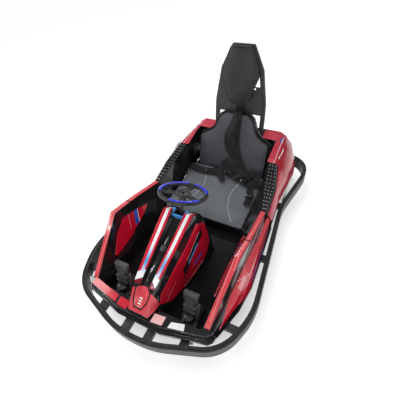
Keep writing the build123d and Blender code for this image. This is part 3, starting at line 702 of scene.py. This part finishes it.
def makeRidges():
    bm = bmesh.new()
    lift, row = Vector((0, 0, ridgeLook["lift"])), None
    for y, outer, width, z, skew, colors in ridgeLook["line"]:
        points = [Vector((outer - width * (1 - t), y + skew * (1 - 2 * t), z)) + lift
                  for t in ridgeLook["bands"]]
        row, faces = addRow(bm, row, points)
        for face, color in zip(faces, colors):
            face.material_index = color
    upwards(bm)
    drawOut(bm, bm.faces[:], (0, 0, ridgeLook["thick"] - ridgeLook["lift"]))
    mirrorAcross(bm)
    finishPiece("consoleRidges", bm, ["panelRed", "ridgeWhite", "darkRed"], ["console_ridges"],
                edge=panelEdge)


makeRidges()
print("body panels done")

# Channel between the ridges: a spine with studs and a clip
channelLook = {"start": (-0.59, 0.352), "end": (-0.235, 0.452), "spine": 0.014, "rise": 0.009, "edge": 0.0012,
               "foot": (2, 0.96, 0.45),  # shares of the spine's width, length and rise
               "clip": (0.03, 0.03, 0.018), "clipAt": (0, 0.01, 0.004),
               "studs": 13, "stud": 0.0032, "studSides": 10, "studRun": 0.94}


def makeChannel():
    (y0, z0), (y1, z1) = channelLook["start"], channelLook["end"]
    slope = hypot(y1 - y0, z1 - z0)
    lie = moved(0, (y0 + y1) / 2, (z0 + z1) / 2) @ Matrix.Rotation((z1 - z0) / slope, 4, "X")
    spine = (channelLook["spine"], slope, channelLook["rise"])
    bm = bmesh.new()
    addBlock(bm, spine, lie)
    addBlock(bm, [size * share for size, share in zip(spine, channelLook["foot"])], lie)
    paint(addBlock(bm, channelLook["clip"], lie @ moved(*channelLook["clipAt"])), 1)
    roundEdges(bm, channelLook["edge"])
    for k in range(channelLook["studs"]):
        along = (k + 0.5) / channelLook["studs"] - 0.5
        place = moved(0, along * slope * channelLook["studRun"], channelLook["rise"] / 2 + studForm["proud"])
        addStud(bm, channelLook["stud"], lie @ place, channelLook["studSides"])
    finishPiece("channelSpine", bm, ["bodyGloss", "hubGrey"])


# Blue saddle round the column: two cheeks and a bridge in front
saddleLook = {"place": (0, -0.196, 0.470), "width": 0.080, "edge": 0.002,
              "cheek": (0.016, 0.0364, 0.034), "cheekRise": 0.004,
              "bridge": (0.080, 0.008, 0.0306), "bridgeAhead": 0.025}


def makeSaddle():
    bm = bmesh.new()
    place = moved(*saddleLook["place"])
    for sign in (-1, 1):
        cheek = moved(sign * saddleLook["width"] / 2, 0, saddleLook["cheekRise"])
        addBlock(bm, saddleLook["cheek"], place @ cheek)
    addBlock(bm, saddleLook["bridge"], place @ moved(0, -saddleLook["bridgeAhead"], 0))
    roundEdges(bm, saddleLook["edge"])
    finishPiece("columnSaddle", bm, ["blueTrim"])


makeChannel()
makeSaddle()

# Steering wheel
wheelLook = {
    "centre": (0.0, -0.129, 0.571), "foot": (0.0, -0.330, 0.130), "rim": 0.128, "grip": 0.012,
    "gripSides": 16,
    # the hub's top from its bore outwards, as radius and height, then its lip and underside
    "dish": [(0.012, 0.004), (0.020, 0.005), (0.034, 0.0065), (0.040, 0.0068)], "dishSteps": 48,
    "hub": 0.046, "lip": 0.003, "under": -0.007, "hubTrim": 0.001, "edge": 0.0012, "edgeAngle": 40,
    "spokes": (90, 205, 335), "spoke": (0.034, 0.008), "spokeSunk": 0.004, "pocket": (0.008, 0.0025),
    "bolts": 6, "bolt": (0.0042, 0.004), "boltAt": (0.027, 0, 0.0075),
    # middle and span of each lens round the rim, then the lens's own section
    "lenses": ((54, 64), (156, 106), (300, 72)), "lensArc": (48, 62, 76, 90, 104, 118, 132),
    "lensThick": 0.002, "lensSeat": 0.98, "lensStep": 3,
}


def wheelMatrix():
    axis = (Vector(wheelLook["centre"]) - Vector(wheelLook["foot"])).normalized()
    side = Vector((1, 0, 0))
    turn = Matrix((side, axis.cross(side), axis)).transposed().to_4x4()
    return Matrix.Translation(wheelLook["centre"]) @ turn


def ringSection(radius, angles):
    return [(wheelLook["rim"] + radius * cos(a), 0, radius * sin(a)) for a in angles]


def makeWheel():
    rim, hub, sides, dish = (wheelLook[key] for key in ("rim", "hub", "gripSides", "dish"))
    bm = bmesh.new()
    spinRing(bm, ringSection(wheelLook["grip"], [2 * pi * k / sides for k in range(sides)]))
    hubSection = dish + [(hub, wheelLook["lip"]), (hub, wheelLook["under"]), (dish[0][0], wheelLook["under"])]
    spinRing(bm, [(r, 0, z) for r, z in hubSection], steps=wheelLook["dishSteps"])
    inner, outer = hub - wheelLook["spokeSunk"], rim - wheelLook["spokeSunk"]
    for angle in wheelLook["spokes"]:
        place = turned(angle, "Z") @ moved((inner + outer) / 2, 0, 0)
        sinkTop(bm, addBlock(bm, (outer - inner, *wheelLook["spoke"]), place), *wheelLook["pocket"])
    outwards(bm)
    roundEdges(bm, wheelLook["edge"], angle=wheelLook["edgeAngle"])
    for face in bm.faces:
        middle = face.calc_center_median()
        face.material_index = 1 if hypot(middle.x, middle.y) < hub - wheelLook["hubTrim"] else 0
    for k in range(wheelLook["bolts"]):
        place = onRing(k, wheelLook["bolts"]) @ moved(*wheelLook["boltAt"])
        paint(addDisc(bm, *wheelLook["bolt"], place, 6), 2)
    bmesh.ops.transform(bm, matrix=wheelMatrix(), verts=bm.verts)
    finishPiece("steeringWheel", bm, ["gripBlack", "hubGrey", "buckleBlack"],
                ["steering_wheel"], "steering")


def makeLenses():
    bm = bmesh.new()
    grip, arc = wheelLook["grip"], [radians(a) for a in wheelLook["lensArc"]]
    shell = ringSection(grip + wheelLook["lensThick"], arc)
    shell += ringSection(grip * wheelLook["lensSeat"], reversed(arc))
    for angle, span in wheelLook["lenses"]:
        start = turned(angle - span / 2, "Z")
        spinRing(bm, [start @ Vector(p) for p in shell], angle=radians(span),
                 steps=round(span / wheelLook["lensStep"]))
    bmesh.ops.holes_fill(bm, edges=[e for e in bm.edges if e.is_boundary], sides=0)
    outwards(bm)
    bmesh.ops.transform(bm, matrix=wheelMatrix(), verts=bm.verts)
    finishPiece("wheelLights", bm, ["blueLens"], ["wheel_lights"], "steering")


makeWheel()
makeLenses()
print("steering wheel made")

# Pedals
pedalLook = {
    "x": 0.222, "y": -0.585, "floor": 0.106, "lean": 16, "stemRise": 0.014, "edge": 0.0022,
    "plate": (0.092, 0.120, 0.006), "plateAt": (0, 0.015, 0.003),
    # centre along the stem, width, depth, length
    "blocks": [(0.092, 0.052, 0.036, 0.120), (0.070, 0.078, 0.046, 0.016), (0.106, 0.078, 0.046, 0.016),
               (0.170, 0.084, 0.026, 0.060)],
    # tread bars on the face the foot meets, then raised frames on the front: count, size, out, first, pitch
    "bars": [(5, (0.072, 0.003, 0.005), 0.0132, 0.148, 0.011),
             (2, (0.034, 0.003, 0.012), -0.0188, 0.088, 0.036)],
    "drum": (0.033, 0.056), "drumAt": (-0.006, -0.008, 0.028), "drumSides": 40, "drumTop": (0.006, 0.004),
    "knob": (0.009, 0.010), "knobAt": (-0.012, -0.014, 0.027),
    "bolt": (0.006, 0.005), "boltRise": 0.008,
    "boltsAt": ((-0.036, -0.036), (0.036, -0.036), (-0.036, 0.064), (0.034, 0.064)),
    # bracket outline from the side: y from the pedal's foot, and z
    "bracket": [(-0.020, 0.106), (0.075, 0.106), (0.075, 0.146), (0.045, 0.240)], "bracketThick": 0.006,
    "bracketX": 0.040,
}


def makePedal(node, x):
    look, sides = pedalLook, pedalLook["drumSides"]
    foot = moved(x, look["y"], look["floor"])
    stem = moved(x, look["y"], look["floor"] + look["stemRise"]) @ turned(-look["lean"], "X")
    bm = bmesh.new()
    addBlock(bm, look["plate"], foot @ moved(*look["plateAt"]))
    for along, *size in look["blocks"]:
        addBlock(bm, size, stem @ moved(0, 0, along))
    for count, size, out, first, pitch in look["bars"]:
        for k in range(count):
            addBlock(bm, size, stem @ moved(0, out, first + pitch * k))
    roundEdges(bm, look["edge"])
    drum = foot @ moved(*look["drumAt"])
    addDisc(bm, *look["drum"], drum, sides)
    top = max(bm.faces, key=lambda f: (len(f.verts) == sides, f.calc_center_median().z))
    rim, depth = look["drumTop"]
    bmesh.ops.inset_region(bm, faces=[top], thickness=rim, depth=-depth)
    paint(addDisc(bm, *look["knob"], drum @ moved(*look["knobAt"]), 6), 1)
    for dx, dy in look["boltsAt"]:
        paint(addDisc(bm, *look["bolt"], foot @ moved(dx, dy, look["boltRise"]), 6), 1)
    outline = [(x + look["bracketX"], look["y"] + dy, z) for dy, z in look["bracket"]]
    bracket = bm.faces.new([bm.verts.new(p) for p in outline])
    bracket.material_index = 1
    paint(drawOut(bm, [bracket], (look["bracketThick"], 0, 0)), 1)
    outwards(bm)
    finishPiece(pieceName(node), bm, ["pedalGrey", "bracketZinc"], [node])


makePedal("pedal_throttle", -pedalLook["x"])
makePedal("pedal_brake", pedalLook["x"])
print("pedals made")

# Wheels
wheelSets = {"front": {"x": 0.400, "y": -0.330, "width": 0.060},
             "rear": {"x": 0.395, "y": 0.560, "width": 0.080}}
wheelForm = {"radius": 0.100, "bore": 0.066, "bead": (0.003, 0.004), "wall": 0.010,
             "steps": 112, "crease": 35,
             "shoulder": (0.007, 0.009), "bow": (0.28, 0.45),  # drop and run, and how far it bows
             "groove": (0.0045, 0.003), "grooveAt": 0.36, "grooveFloor": (0.8, 0.2), "rimEdge": 0.0015,
             "nuts": 5, "nutRing": 0.017, "nut": (0.0035, 0.004), "nutInset": 0.006}


def makeTyre(name, body, form, sign):
    # half of the section from bore to tread, then its mirror
    half, radius, bore = form["width"] / 2, wheelForm["radius"], wheelForm["bore"]
    (chamfer, rise), (drop, run), (bowDrop, bowRun) = (wheelForm[key] for key in ("bead", "shoulder", "bow"))
    wide, deep = wheelForm["groove"]
    at = half * wheelForm["grooveAt"]
    side = [(half - chamfer, bore), (half, bore + rise), (half, radius - drop - wheelForm["wall"]),
            (half, radius - drop), (half - run * bowRun, radius - drop * bowDrop), (half - run, radius),
            (at + wide, radius)]
    side += [(at + wide * share, radius - deep) for share in wheelForm["grooveFloor"]] + [(at, radius)]
    outline = side + [(-x, r) for x, r in reversed(side)]
    bm = bmesh.new()
    spinRing(bm, [(x, 0, r) for x, r in outline], (1, 0, 0), steps=wheelForm["steps"])
    outwards(bm)
    bmesh.ops.translate(bm, verts=bm.verts, vec=(sign * form["x"], form["y"], radius))
    finishPiece(pieceName("tyre_" + name), bm, ["tyreBlack"], ["tyre_" + name], body,
                crease=wheelForm["crease"])


def makeNuts(name, body, form, sign):
    bm = bmesh.new()
    out = sign * form["x"] + sign * (form["width"] / 2 - wheelForm["nutInset"])
    hub = moved(out, form["y"], wheelForm["radius"]) @ turned(90, "Y")
    for k in range(wheelForm["nuts"]):
        place = hub @ onRing(k, wheelForm["nuts"]) @ moved(wheelForm["nutRing"], 0, 0)
        addDisc(bm, *wheelForm["nut"], place, 6)
    finishPiece(pieceName("nuts_" + name), bm, ["steelBare"], body=body)


for end, form in wheelSets.items():
    for side, sign in (("left", 1), ("right", -1)):
        name, body = f"{end}_{side}", f"wheel_{end}_{side}"
        makeTyre(name, body, form, sign)
        finishPiece(pieceName("rim_" + name), cadCopy("rim_" + name), ["rimCast"],
                    ["rim_" + name], body, wheelForm["rimEdge"])
        makeNuts(name, body, form, sign)
print("wheels made")

# Seat arms: rows of studs along the top, given a pale tone as a painted highlight for the glints on them,
# with two smooth raised strips between them
armLook = {
    # y, inner x, outer x, z of the arm's flat top
    "line": [(0.128, 0.380, 0.401, 0.3027), (0.300, 0.338, 0.398, 0.3500), (0.452, 0.319, 0.362, 0.3994)],
    "studRows": (0.10, 0.50, 0.90), "studs": 13, "stud": 0.0036, "studSides": 8,
    "strips": [(0.18, 0.42), (0.58, 0.82)], "stripFrom": 0.45, "stripTo": 0.95, "stripSteps": 6,
    "rise": 0.005, "edge": (0.002, 3, 50),
}


def armPoint(share, across):
    line = armLook["line"]
    y = line[0][0] + (line[-1][0] - line[0][0]) * share
    near, far = (line[0], line[1]) if y < line[1][0] else (line[1], line[2])
    t = (y - near[0]) / (far[0] - near[0])
    inner, outer, z = (near[k] + (far[k] - near[k]) * t for k in (1, 2, 3))
    return Vector((inner + (outer - inner) * across, y, z)), (far[3] - near[3]) / (far[0] - near[0])


def makeArmTrim():
    bm = bmesh.new()
    for strip in armLook["strips"]:
        row = None
        for k in range(armLook["stripSteps"] + 1):
            run = armLook["stripTo"] - armLook["stripFrom"]
            share = armLook["stripFrom"] + run * k / armLook["stripSteps"]
            row, _ = addRow(bm, row, [armPoint(share, across)[0] for across in strip])
    drawOut(bm, bm.faces[:], (0, 0, armLook["rise"]))
    outwards(bm)
    roundEdges(bm, *armLook["edge"])
    for k in range(armLook["studs"]):
        for across in armLook["studRows"]:
            point, slope = armPoint((k + 0.5) / armLook["studs"], across)
            lie = Matrix.Translation(point) @ Matrix.Rotation(slope, 4, "X")
            paint(addStud(bm, armLook["stud"], lie @ moved(0, 0, studForm["proud"]), armLook["studSides"]), 1)
    mirrorAcross(bm)
    finishPiece("armTrim", bm, ["bodyGloss", "studPale"])


makeArmTrim()

# Padded pieces: facing is the way the padded face looks
padLooks = {
    "seat_cushion": {"piece": "seatCushion", "finish": "seatVinyl", "facing": (0, 0, 1), "shrink": 0.008,
                     "voxel": 0.006, "cap": 0.008, "fill": 0.6},
    "seat_back_pad": {"piece": "seatBackPad", "finish": "backVinyl", "facing": (0, -0.927, 0.375),
                      "shrink": 0.009, "voxel": 0.006, "cap": 0.012, "fill": 0.6},
    "headrest_pad": {"piece": "headrestPad", "finish": "headVinyl", "facing": (0, -0.985, 0.174),
                     "shrink": 0.011, "voxel": 0.005, "cap": 0.017, "fill": 0.7},
}
padHold = {"inset": 0.0012, "turned": 0.35, "frames": 20, "pressure": 4.0, "quality": 4, "smooths": 3,
           "smoothing": 0.5, "least": 1e-9}


def evaluated(obj):
    return obj.evaluated_get(bpy.context.evaluated_depsgraph_get())


def fillPad(obj, toFace):
    # Cloth swells the cover, which is held to its board where it turns away from the facing
    held = obj.vertex_groups.new(name="board")
    held.add([k for k, share in enumerate(toFace) if share < padHold["turned"]], 1.0, "REPLACE")
    cloth = obj.modifiers.new("stuffing", "CLOTH")
    cloth.settings.vertex_group_mass = held.name
    cloth.settings.use_pressure = True
    cloth.settings.uniform_pressure_force = padHold["pressure"]
    cloth.settings.effector_weights.gravity = 0.0
    cloth.settings.quality = padHold["quality"]
    for step in range(1, padHold["frames"] + 1):
        scene.frame_set(step)
    shaped = evaluated(obj)
    end = [v.co.copy() for v in shaped.data.vertices]
    obj.modifiers.clear()
    obj.vertex_groups.clear()
    scene.frame_set(1)
    return end


def makePad(node, look):
    bm = cadCopy(node)
    outwards(bm)
    obj = meshObject(look["piece"], bm)
    remesh = obj.modifiers.new("voxels", "REMESH")
    remesh.mode = "VOXEL"
    remesh.voxel_size = look["voxel"]
    obj.data = bpy.data.meshes.new_from_object(evaluated(obj))
    obj.modifiers.clear()
    bm = bmesh.new()
    bm.from_mesh(obj.data)
    for _ in range(padHold["smooths"]):
        bmesh.ops.smooth_vert(bm, verts=bm.verts, factor=padHold["smoothing"], use_axis_x=True,
                              use_axis_y=True, use_axis_z=True)
    bm.normal_update()
    facing = Vector(look["facing"])
    toFace = [max(0.0, vert.normal.dot(facing)) for vert in bm.verts]
    for vert, share in zip(bm.verts, toFace):  # the pad swells, so it starts smaller
        vert.co -= vert.normal * (padHold["inset"] + look["shrink"] * share)
    bm.to_mesh(obj.data)
    bm.free()
    start = [v.co.copy() for v in obj.data.vertices]
    end = fillPad(obj, toFace)
    for vert, a, b in zip(obj.data.vertices, start, end):
        move = b - a
        vert.co = a + move * min(1.0, look["cap"] / max(move.length, padHold["least"]))
    return obj


def closePad(obj, node, look):
    obj.data.materials.clear()
    obj.data.materials.append(materials[look["finish"]])
    obj.data.shade_smooth()
    smooth = obj.modifiers.new("smooth", "SUBSURF")
    smooth.levels = smooth.render_levels = 1
    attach(obj, "chassis")
    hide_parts(node)


# The back pad's foot goes down behind the cushion
tuckLook = {"along": (0, -0.375, -0.927), "by": 0.020, "top": 0.225, "rise": 0.030}
# Two sewn seams in the cushion, closest at the waist
seamLook = {"depth": 0.0035, "width": 0.006, "reach": 3, "falloff": 2.718, "above": 0.185,
            "waist": 0.109, "waistAt": 0.27, "flare": 1.9, "from": 0.05, "to": 0.42, "steps": 60,
            "castFrom": 0.4, "thread": 0.0019, "threadLift": 0.0012, "threadThick": 0.0016}


def seamX(y):
    return seamLook["waist"] + seamLook["flare"] * (y - seamLook["waistAt"]) ** 2


def tuckFoot(obj):
    for vert in obj.data.vertices:
        foot = max(0.0, min(1.0, (tuckLook["top"] - vert.co.z) / tuckLook["rise"]))
        vert.co += Vector(tuckLook["along"]) * tuckLook["by"] * foot


def pressSeams(obj):
    for vert in obj.data.vertices:
        gap = abs(abs(vert.co.x) - seamX(vert.co.y)) / seamLook["width"]
        if gap < seamLook["reach"] and vert.co.z > seamLook["above"]:
            vert.co.z -= seamLook["depth"] * seamLook["falloff"] ** (-gap * gap)


def makeStitching(cushion):
    # pale thread laid in the seams
    tree = BVHTree.FromObject(cushion, bpy.context.evaluated_depsgraph_get())
    bm = bmesh.new()
    for sign in (-1, 1):
        row = None
        for k in range(seamLook["steps"] + 1):
            y = seamLook["from"] + (seamLook["to"] - seamLook["from"]) * k / seamLook["steps"]
            hit = tree.ray_cast(Vector((sign * seamX(y), y, seamLook["castFrom"])), Vector((0, 0, -1)))[0]
            if hit is None:
                continue
            slope = sign * 2 * seamLook["flare"] * (y - seamLook["waistAt"])
            across = Vector((1, -slope, 0)).normalized() * seamLook["thread"]
            row, _ = addRow(bm, row, (hit - across, hit + across))
    upwards(bm)
    bmesh.ops.translate(bm, verts=bm.verts, vec=(0, 0, seamLook["threadLift"]))
    bmesh.ops.solidify(bm, geom=bm.faces[:], thickness=seamLook["threadThick"])
    finishPiece("seatStitching", bm, ["stitchThread"])


pads = {}
for node, look in padLooks.items():
    pads[node] = makePad(node, look)
    print("pad filled:", look["piece"])
tuckFoot(pads["seat_back_pad"])
pressSeams(pads["seat_cushion"])
for node, look in padLooks.items():
    closePad(pads[node], node, look)
makeStitching(pads["seat_cushion"])
print("padding done")

# Harness: straps laid one by one
seatBack = {"foot": (0, 0.515, 0.222), "lean": 22}
headPost = {"foot": (0, 0.655, 0.156), "lean": 10}
strapLook = {"thick": 0.0026, "curveSteps": 9, "lapFacing": (0, -0.25, 1)}
straps = {
    # on the headrest post, then on the seat back: x, up, out from the face
    # twist is the roll half way along, in degrees
    "shoulderLoop": {"width": 0.050, "twist": 22, "replaces": ["harness_shoulder"],
                     "post": [(0.004, 0.478, 0.009), (0.006, 0.452, 0.015)],
                     "back": [(0.010, 0.414, -0.018), (0.011, 0.399, 0.012), (0.004, 0.345, 0.024),
                              (-0.020, 0.285, 0.032), (-0.034, 0.232, 0.034), (-0.026, 0.172, 0.032),
                              (0.012, 0.116, 0.034), (0.062, 0.078, 0.030)]},
    "shoulderDrop": {"width": 0.042, "twist": -52,
                     "post": [(0.014, 0.478, 0.014), (0.016, 0.452, 0.020)],
                     "back": [(0.024, 0.418, -0.018), (0.029, 0.402, 0.010), (0.034, 0.345, 0.018),
                              (0.032, 0.270, 0.020), (0.034, 0.200, 0.018), (0.052, 0.130, 0.018),
                              (0.080, 0.065, 0.022), (0.104, 0.026, 0.028)]},
    "shoulderCross": {"width": 0.042, "twist": 18,
                      "back": [(0.070, 0.100, 0.012), (0.045, 0.072, 0.034), (0.010, 0.060, 0.042),
                               (-0.020, 0.040, 0.036), (-0.050, 0.016, 0.034)]},
    # on the cushion: x, y, z
    "lapStrapLeft": {"width": 0.048, "replaces": ["harness_lap"],
                     "lap": [(-0.278, 0.418, 0.240), (-0.235, 0.410, 0.244), (-0.18, 0.400, 0.238),
                             (-0.12, 0.402, 0.243), (-0.06, 0.416, 0.238), (0.0, 0.424, 0.244)]},
    "lapStrapRight": {"width": 0.048,
                      "lap": [(0.278, 0.398, 0.240), (0.24, 0.378, 0.246), (0.19, 0.370, 0.241),
                              (0.14, 0.385, 0.246), (0.09, 0.410, 0.243), (0.03, 0.430, 0.250)]},
    "lapStrapTail": {"width": 0.044,
                     "lap": [(0.272, 0.440, 0.262), (0.225, 0.446, 0.274), (0.175, 0.432, 0.258),
                             (0.125, 0.448, 0.274), (0.075, 0.452, 0.262), (0.030, 0.440, 0.270)]},
    "lapStrapFold": {"width": 0.040,
                     "lap": [(0.215, 0.400, 0.252), (0.185, 0.420, 0.272), (0.140, 0.415, 0.276),
                             (0.105, 0.398, 0.262), (0.080, 0.380, 0.246)]},
    "lapStrapTongue": {"width": 0.040,
                       "lap": [(-0.10, 0.430, 0.246), (-0.055, 0.410, 0.256), (-0.012, 0.378, 0.248),
                               (0.022, 0.342, 0.236)]},
    "sideStrap": {"width": 0.044,
                  "lap": [(0.222, 0.345, 0.238), (0.246, 0.290, 0.235), (0.254, 0.225, 0.231),
                          (0.252, 0.190, 0.229)]},
}


def faceOut(face):
    lean = radians(face["lean"])
    return Vector((0, -cos(lean), sin(lean)))


def onFace(face, x, up, out):
    lean = radians(face["lean"])
    rise = Vector((0, sin(lean), cos(lean)))
    return Vector((x, 0, 0)) + Vector(face["foot"]) + rise * up + faceOut(face) * out


def smoothPath(points):
    # a smooth line along a strap's points, read from a curve
    curve = bpy.data.curves.new("strapLine", "CURVE")
    curve.dimensions = "3D"
    spline = curve.splines.new("NURBS")
    spline.points.add(len(points) - 1)
    for target, point in zip(spline.points, points):
        target.co = (*point, 1.0)
    spline.order_u = 3
    spline.use_endpoint_u = True
    spline.resolution_u = strapLook["curveSteps"]
    holder = bpy.data.objects.new("strapLine", curve)
    line = [v.co.copy() for v in bpy.data.meshes.new_from_object(holder).vertices]
    bpy.data.objects.remove(holder)
    return line


def makeStrap(piece, form):
    points = [onFace(headPost, *p) for p in form.get("post", ())]
    points += [onFace(seatBack, *p) for p in form.get("back", ())] + [Vector(p) for p in form.get("lap", ())]
    facing = Vector(strapLook["lapFacing"]).normalized() if "lap" in form else faceOut(seatBack)
    line, width = smoothPath(points), form["width"]
    last = len(line) - 1
    bm = bmesh.new()
    layer = bm.loops.layers.uv.new(webbing["uv"])
    rows, run, row = [], 0.0, None
    for k, point in enumerate(line):
        ahead = (line[min(k + 1, last)] - line[max(k - 1, 0)]).normalized()
        roll = radians(form.get("twist", 0.0)) * sin(pi * k / last)
        across = Matrix.Rotation(roll, 3, ahead) @ ahead.cross(facing).normalized() * width / 2
        if k:
            run += (point - line[k - 1]).length
        rows.append((point - across, point + across, run))
        row, _ = addRow(bm, row, rows[-1][:2])
    for face in bm.faces:
        for loop in face.loops:
            spot = loop.vert.co
            low, high, along = min(rows, key=lambda r: min((spot - r[0]).length, (spot - r[1]).length))
            side = 0.0 if (spot - low).length < (spot - high).length else width
            loop[layer].uv = (side, along)
    outwards(bm)
    bmesh.ops.solidify(bm, geom=bm.faces[:], thickness=strapLook["thick"])
    finishPiece(piece, bm, ["webbing"], form.get("replaces", ()))


for piece, form in straps.items():
    makeStrap(piece, form)

buckles = [
    # centre, turn about z, size
    {"centre": (0.045, 0.425, 0.254), "turn": 8, "size": (0.066, 0.052, 0.020)},
    {"centre": (-0.135, 0.402, 0.243), "turn": 6, "size": (0.030, 0.056, 0.012)},
    {"centre": (0.165, 0.380, 0.249), "turn": -14, "size": (0.046, 0.054, 0.016)},
    {"centre": (0.205, 0.425, 0.268), "turn": 25, "size": (0.040, 0.050, 0.016)},
    {"centre": (0.248, 0.262, 0.237), "turn": 82, "size": (0.034, 0.052, 0.014)},
]
# shares of a buckle's size: the dish in its top, then its release button
buckleForm = {"rim": 0.16, "dish": 0.18, "button": (0.34, 0.62, 0.4), "buttonRise": 0.42, "edge": 0.0022}


def makeBuckles():
    bm = bmesh.new()
    for form in buckles:
        place = moved(*form["centre"]) @ turned(form["turn"], "Z")
        wide, deep, tall = form["size"]
        case = addBlock(bm, form["size"], place)
        sinkTop(bm, case, min(wide, deep) * buckleForm["rim"], tall * buckleForm["dish"])
        button = [size * share for size, share in zip(form["size"], buckleForm["button"])]
        addBlock(bm, button, place @ moved(0, 0, tall * buckleForm["buttonRise"]))
    roundEdges(bm, buckleForm["edge"])
    finishPiece("harnessBuckles", bm, ["buckleBlack"], ["harness_buckle"])


makeBuckles()
print("harness made")

# Stage: pale floor that keeps the shadow, white behind it
stageLook = {"worldFill": 0.64, "worldGloss": 0.16, "floorHalf": 8.0, "floorTone": 0.88, "floorRough": 0.9,
             "floorGlow": 0.42}
lamps = {
    # glints light nothing, and only show in the gloss
    "overheadPanel": {"place": (-0.5, 0.3, 2.9), "aim": (0, 0, 0.2), "size": (1.6, 2.2), "power": 31,
                      "mirrored": False},
    "frontStrip": {"place": (0.9, -2.3, 1.9), "aim": (0, -0.3, 0.2), "size": (2.2, 0.35), "power": 14},
    "sideStrip": {"place": (-2.2, -0.2, 1.5), "aim": (0, 0, 0.3), "size": (0.3, 2.4), "power": 18},
    "glintLeft": {"place": (-1.7, -1.3, 1.5), "aim": (0, -0.2, 0.25), "size": (0.035, 1.5), "lights": False},
    "glintRight": {"place": (1.9, 0.1, 1.3), "aim": (0, 0, 0.25), "size": (0.035, 1.6), "lights": False},
    "glintRear": {"place": (-0.3, 1.7, 2.2), "aim": (0, 0, 0.3), "size": (1.5, 0.035), "lights": False},
    "glintFront": {"place": (0.2, -2.1, 1.0), "aim": (0, -0.4, 0.25), "size": (1.5, 0.035), "lights": False},
}
glintPower = 9


def rayKinds(tree, *kinds):
    path = tree.nodes.new("ShaderNodeLightPath")
    return [path.outputs[f"Is {kind} Ray"] for kind in kinds]


def makeWorld():
    world = bpy.data.worlds.new("studio")
    scene.world = world
    world.use_nodes = True
    tree = world.node_tree
    back = tree.nodes["Background"].inputs
    back["Color"].default_value = (1, 1, 1, 1)
    camera, glossy, through = rayKinds(tree, "Camera", "Glossy", "Transmission")
    seen = mathNode(tree, "MAXIMUM", camera, through)
    fill = rangeNode(tree, glossy, 0.0, 1.0, stageLook["worldFill"], stageLook["worldGloss"], smooth=False)
    feed(tree, mathNode(tree, "MAXIMUM", fill, seen), back["Strength"])


def makeFloor():
    bm = bmesh.new()
    bmesh.ops.create_grid(bm, x_segments=1, y_segments=1, size=stageLook["floorHalf"])
    floor = meshObject("studioFloor", bm)
    tree, shader = startMaterial("paleFloor")
    tone = stageLook["floorTone"]
    shader["Base Color"].default_value = (tone, tone, tone, 1)
    shader["Roughness"].default_value = stageLook["floorRough"]
    shader["Specular IOR Level"].default_value = 0.0
    shader["Emission Color"].default_value = (1, 1, 1, 1)
    camera, glossy, through = rayKinds(tree, "Camera", "Glossy", "Transmission")
    seen = mathNode(tree, "MAXIMUM", mathNode(tree, "MAXIMUM", camera, glossy), through)
    feed(tree, mathNode(tree, "MULTIPLY", seen, stageLook["floorGlow"]), shader["Emission Strength"])
    floor.data.materials.append(materials["paleFloor"])


def hangLamp(name, look):
    data = bpy.data.lights.new(name, "AREA")
    data.shape = "RECTANGLE"
    data.size, data.size_y = look["size"]
    data.energy = look.get("power", glintPower)
    lamp = bpy.data.objects.new(name, data)
    scene.collection.objects.link(lamp)
    lamp.visible_glossy = look.get("mirrored", True)
    lamp.visible_diffuse = look.get("lights", True)
    lamp.location = look["place"]
    lamp.rotation_euler = (Vector(look["aim"]) - Vector(look["place"])).to_track_quat("-Z", "Y").to_euler()


makeWorld()
makeFloor()
for name, look in lamps.items():
    hangLamp(name, look)
print("stage lit")
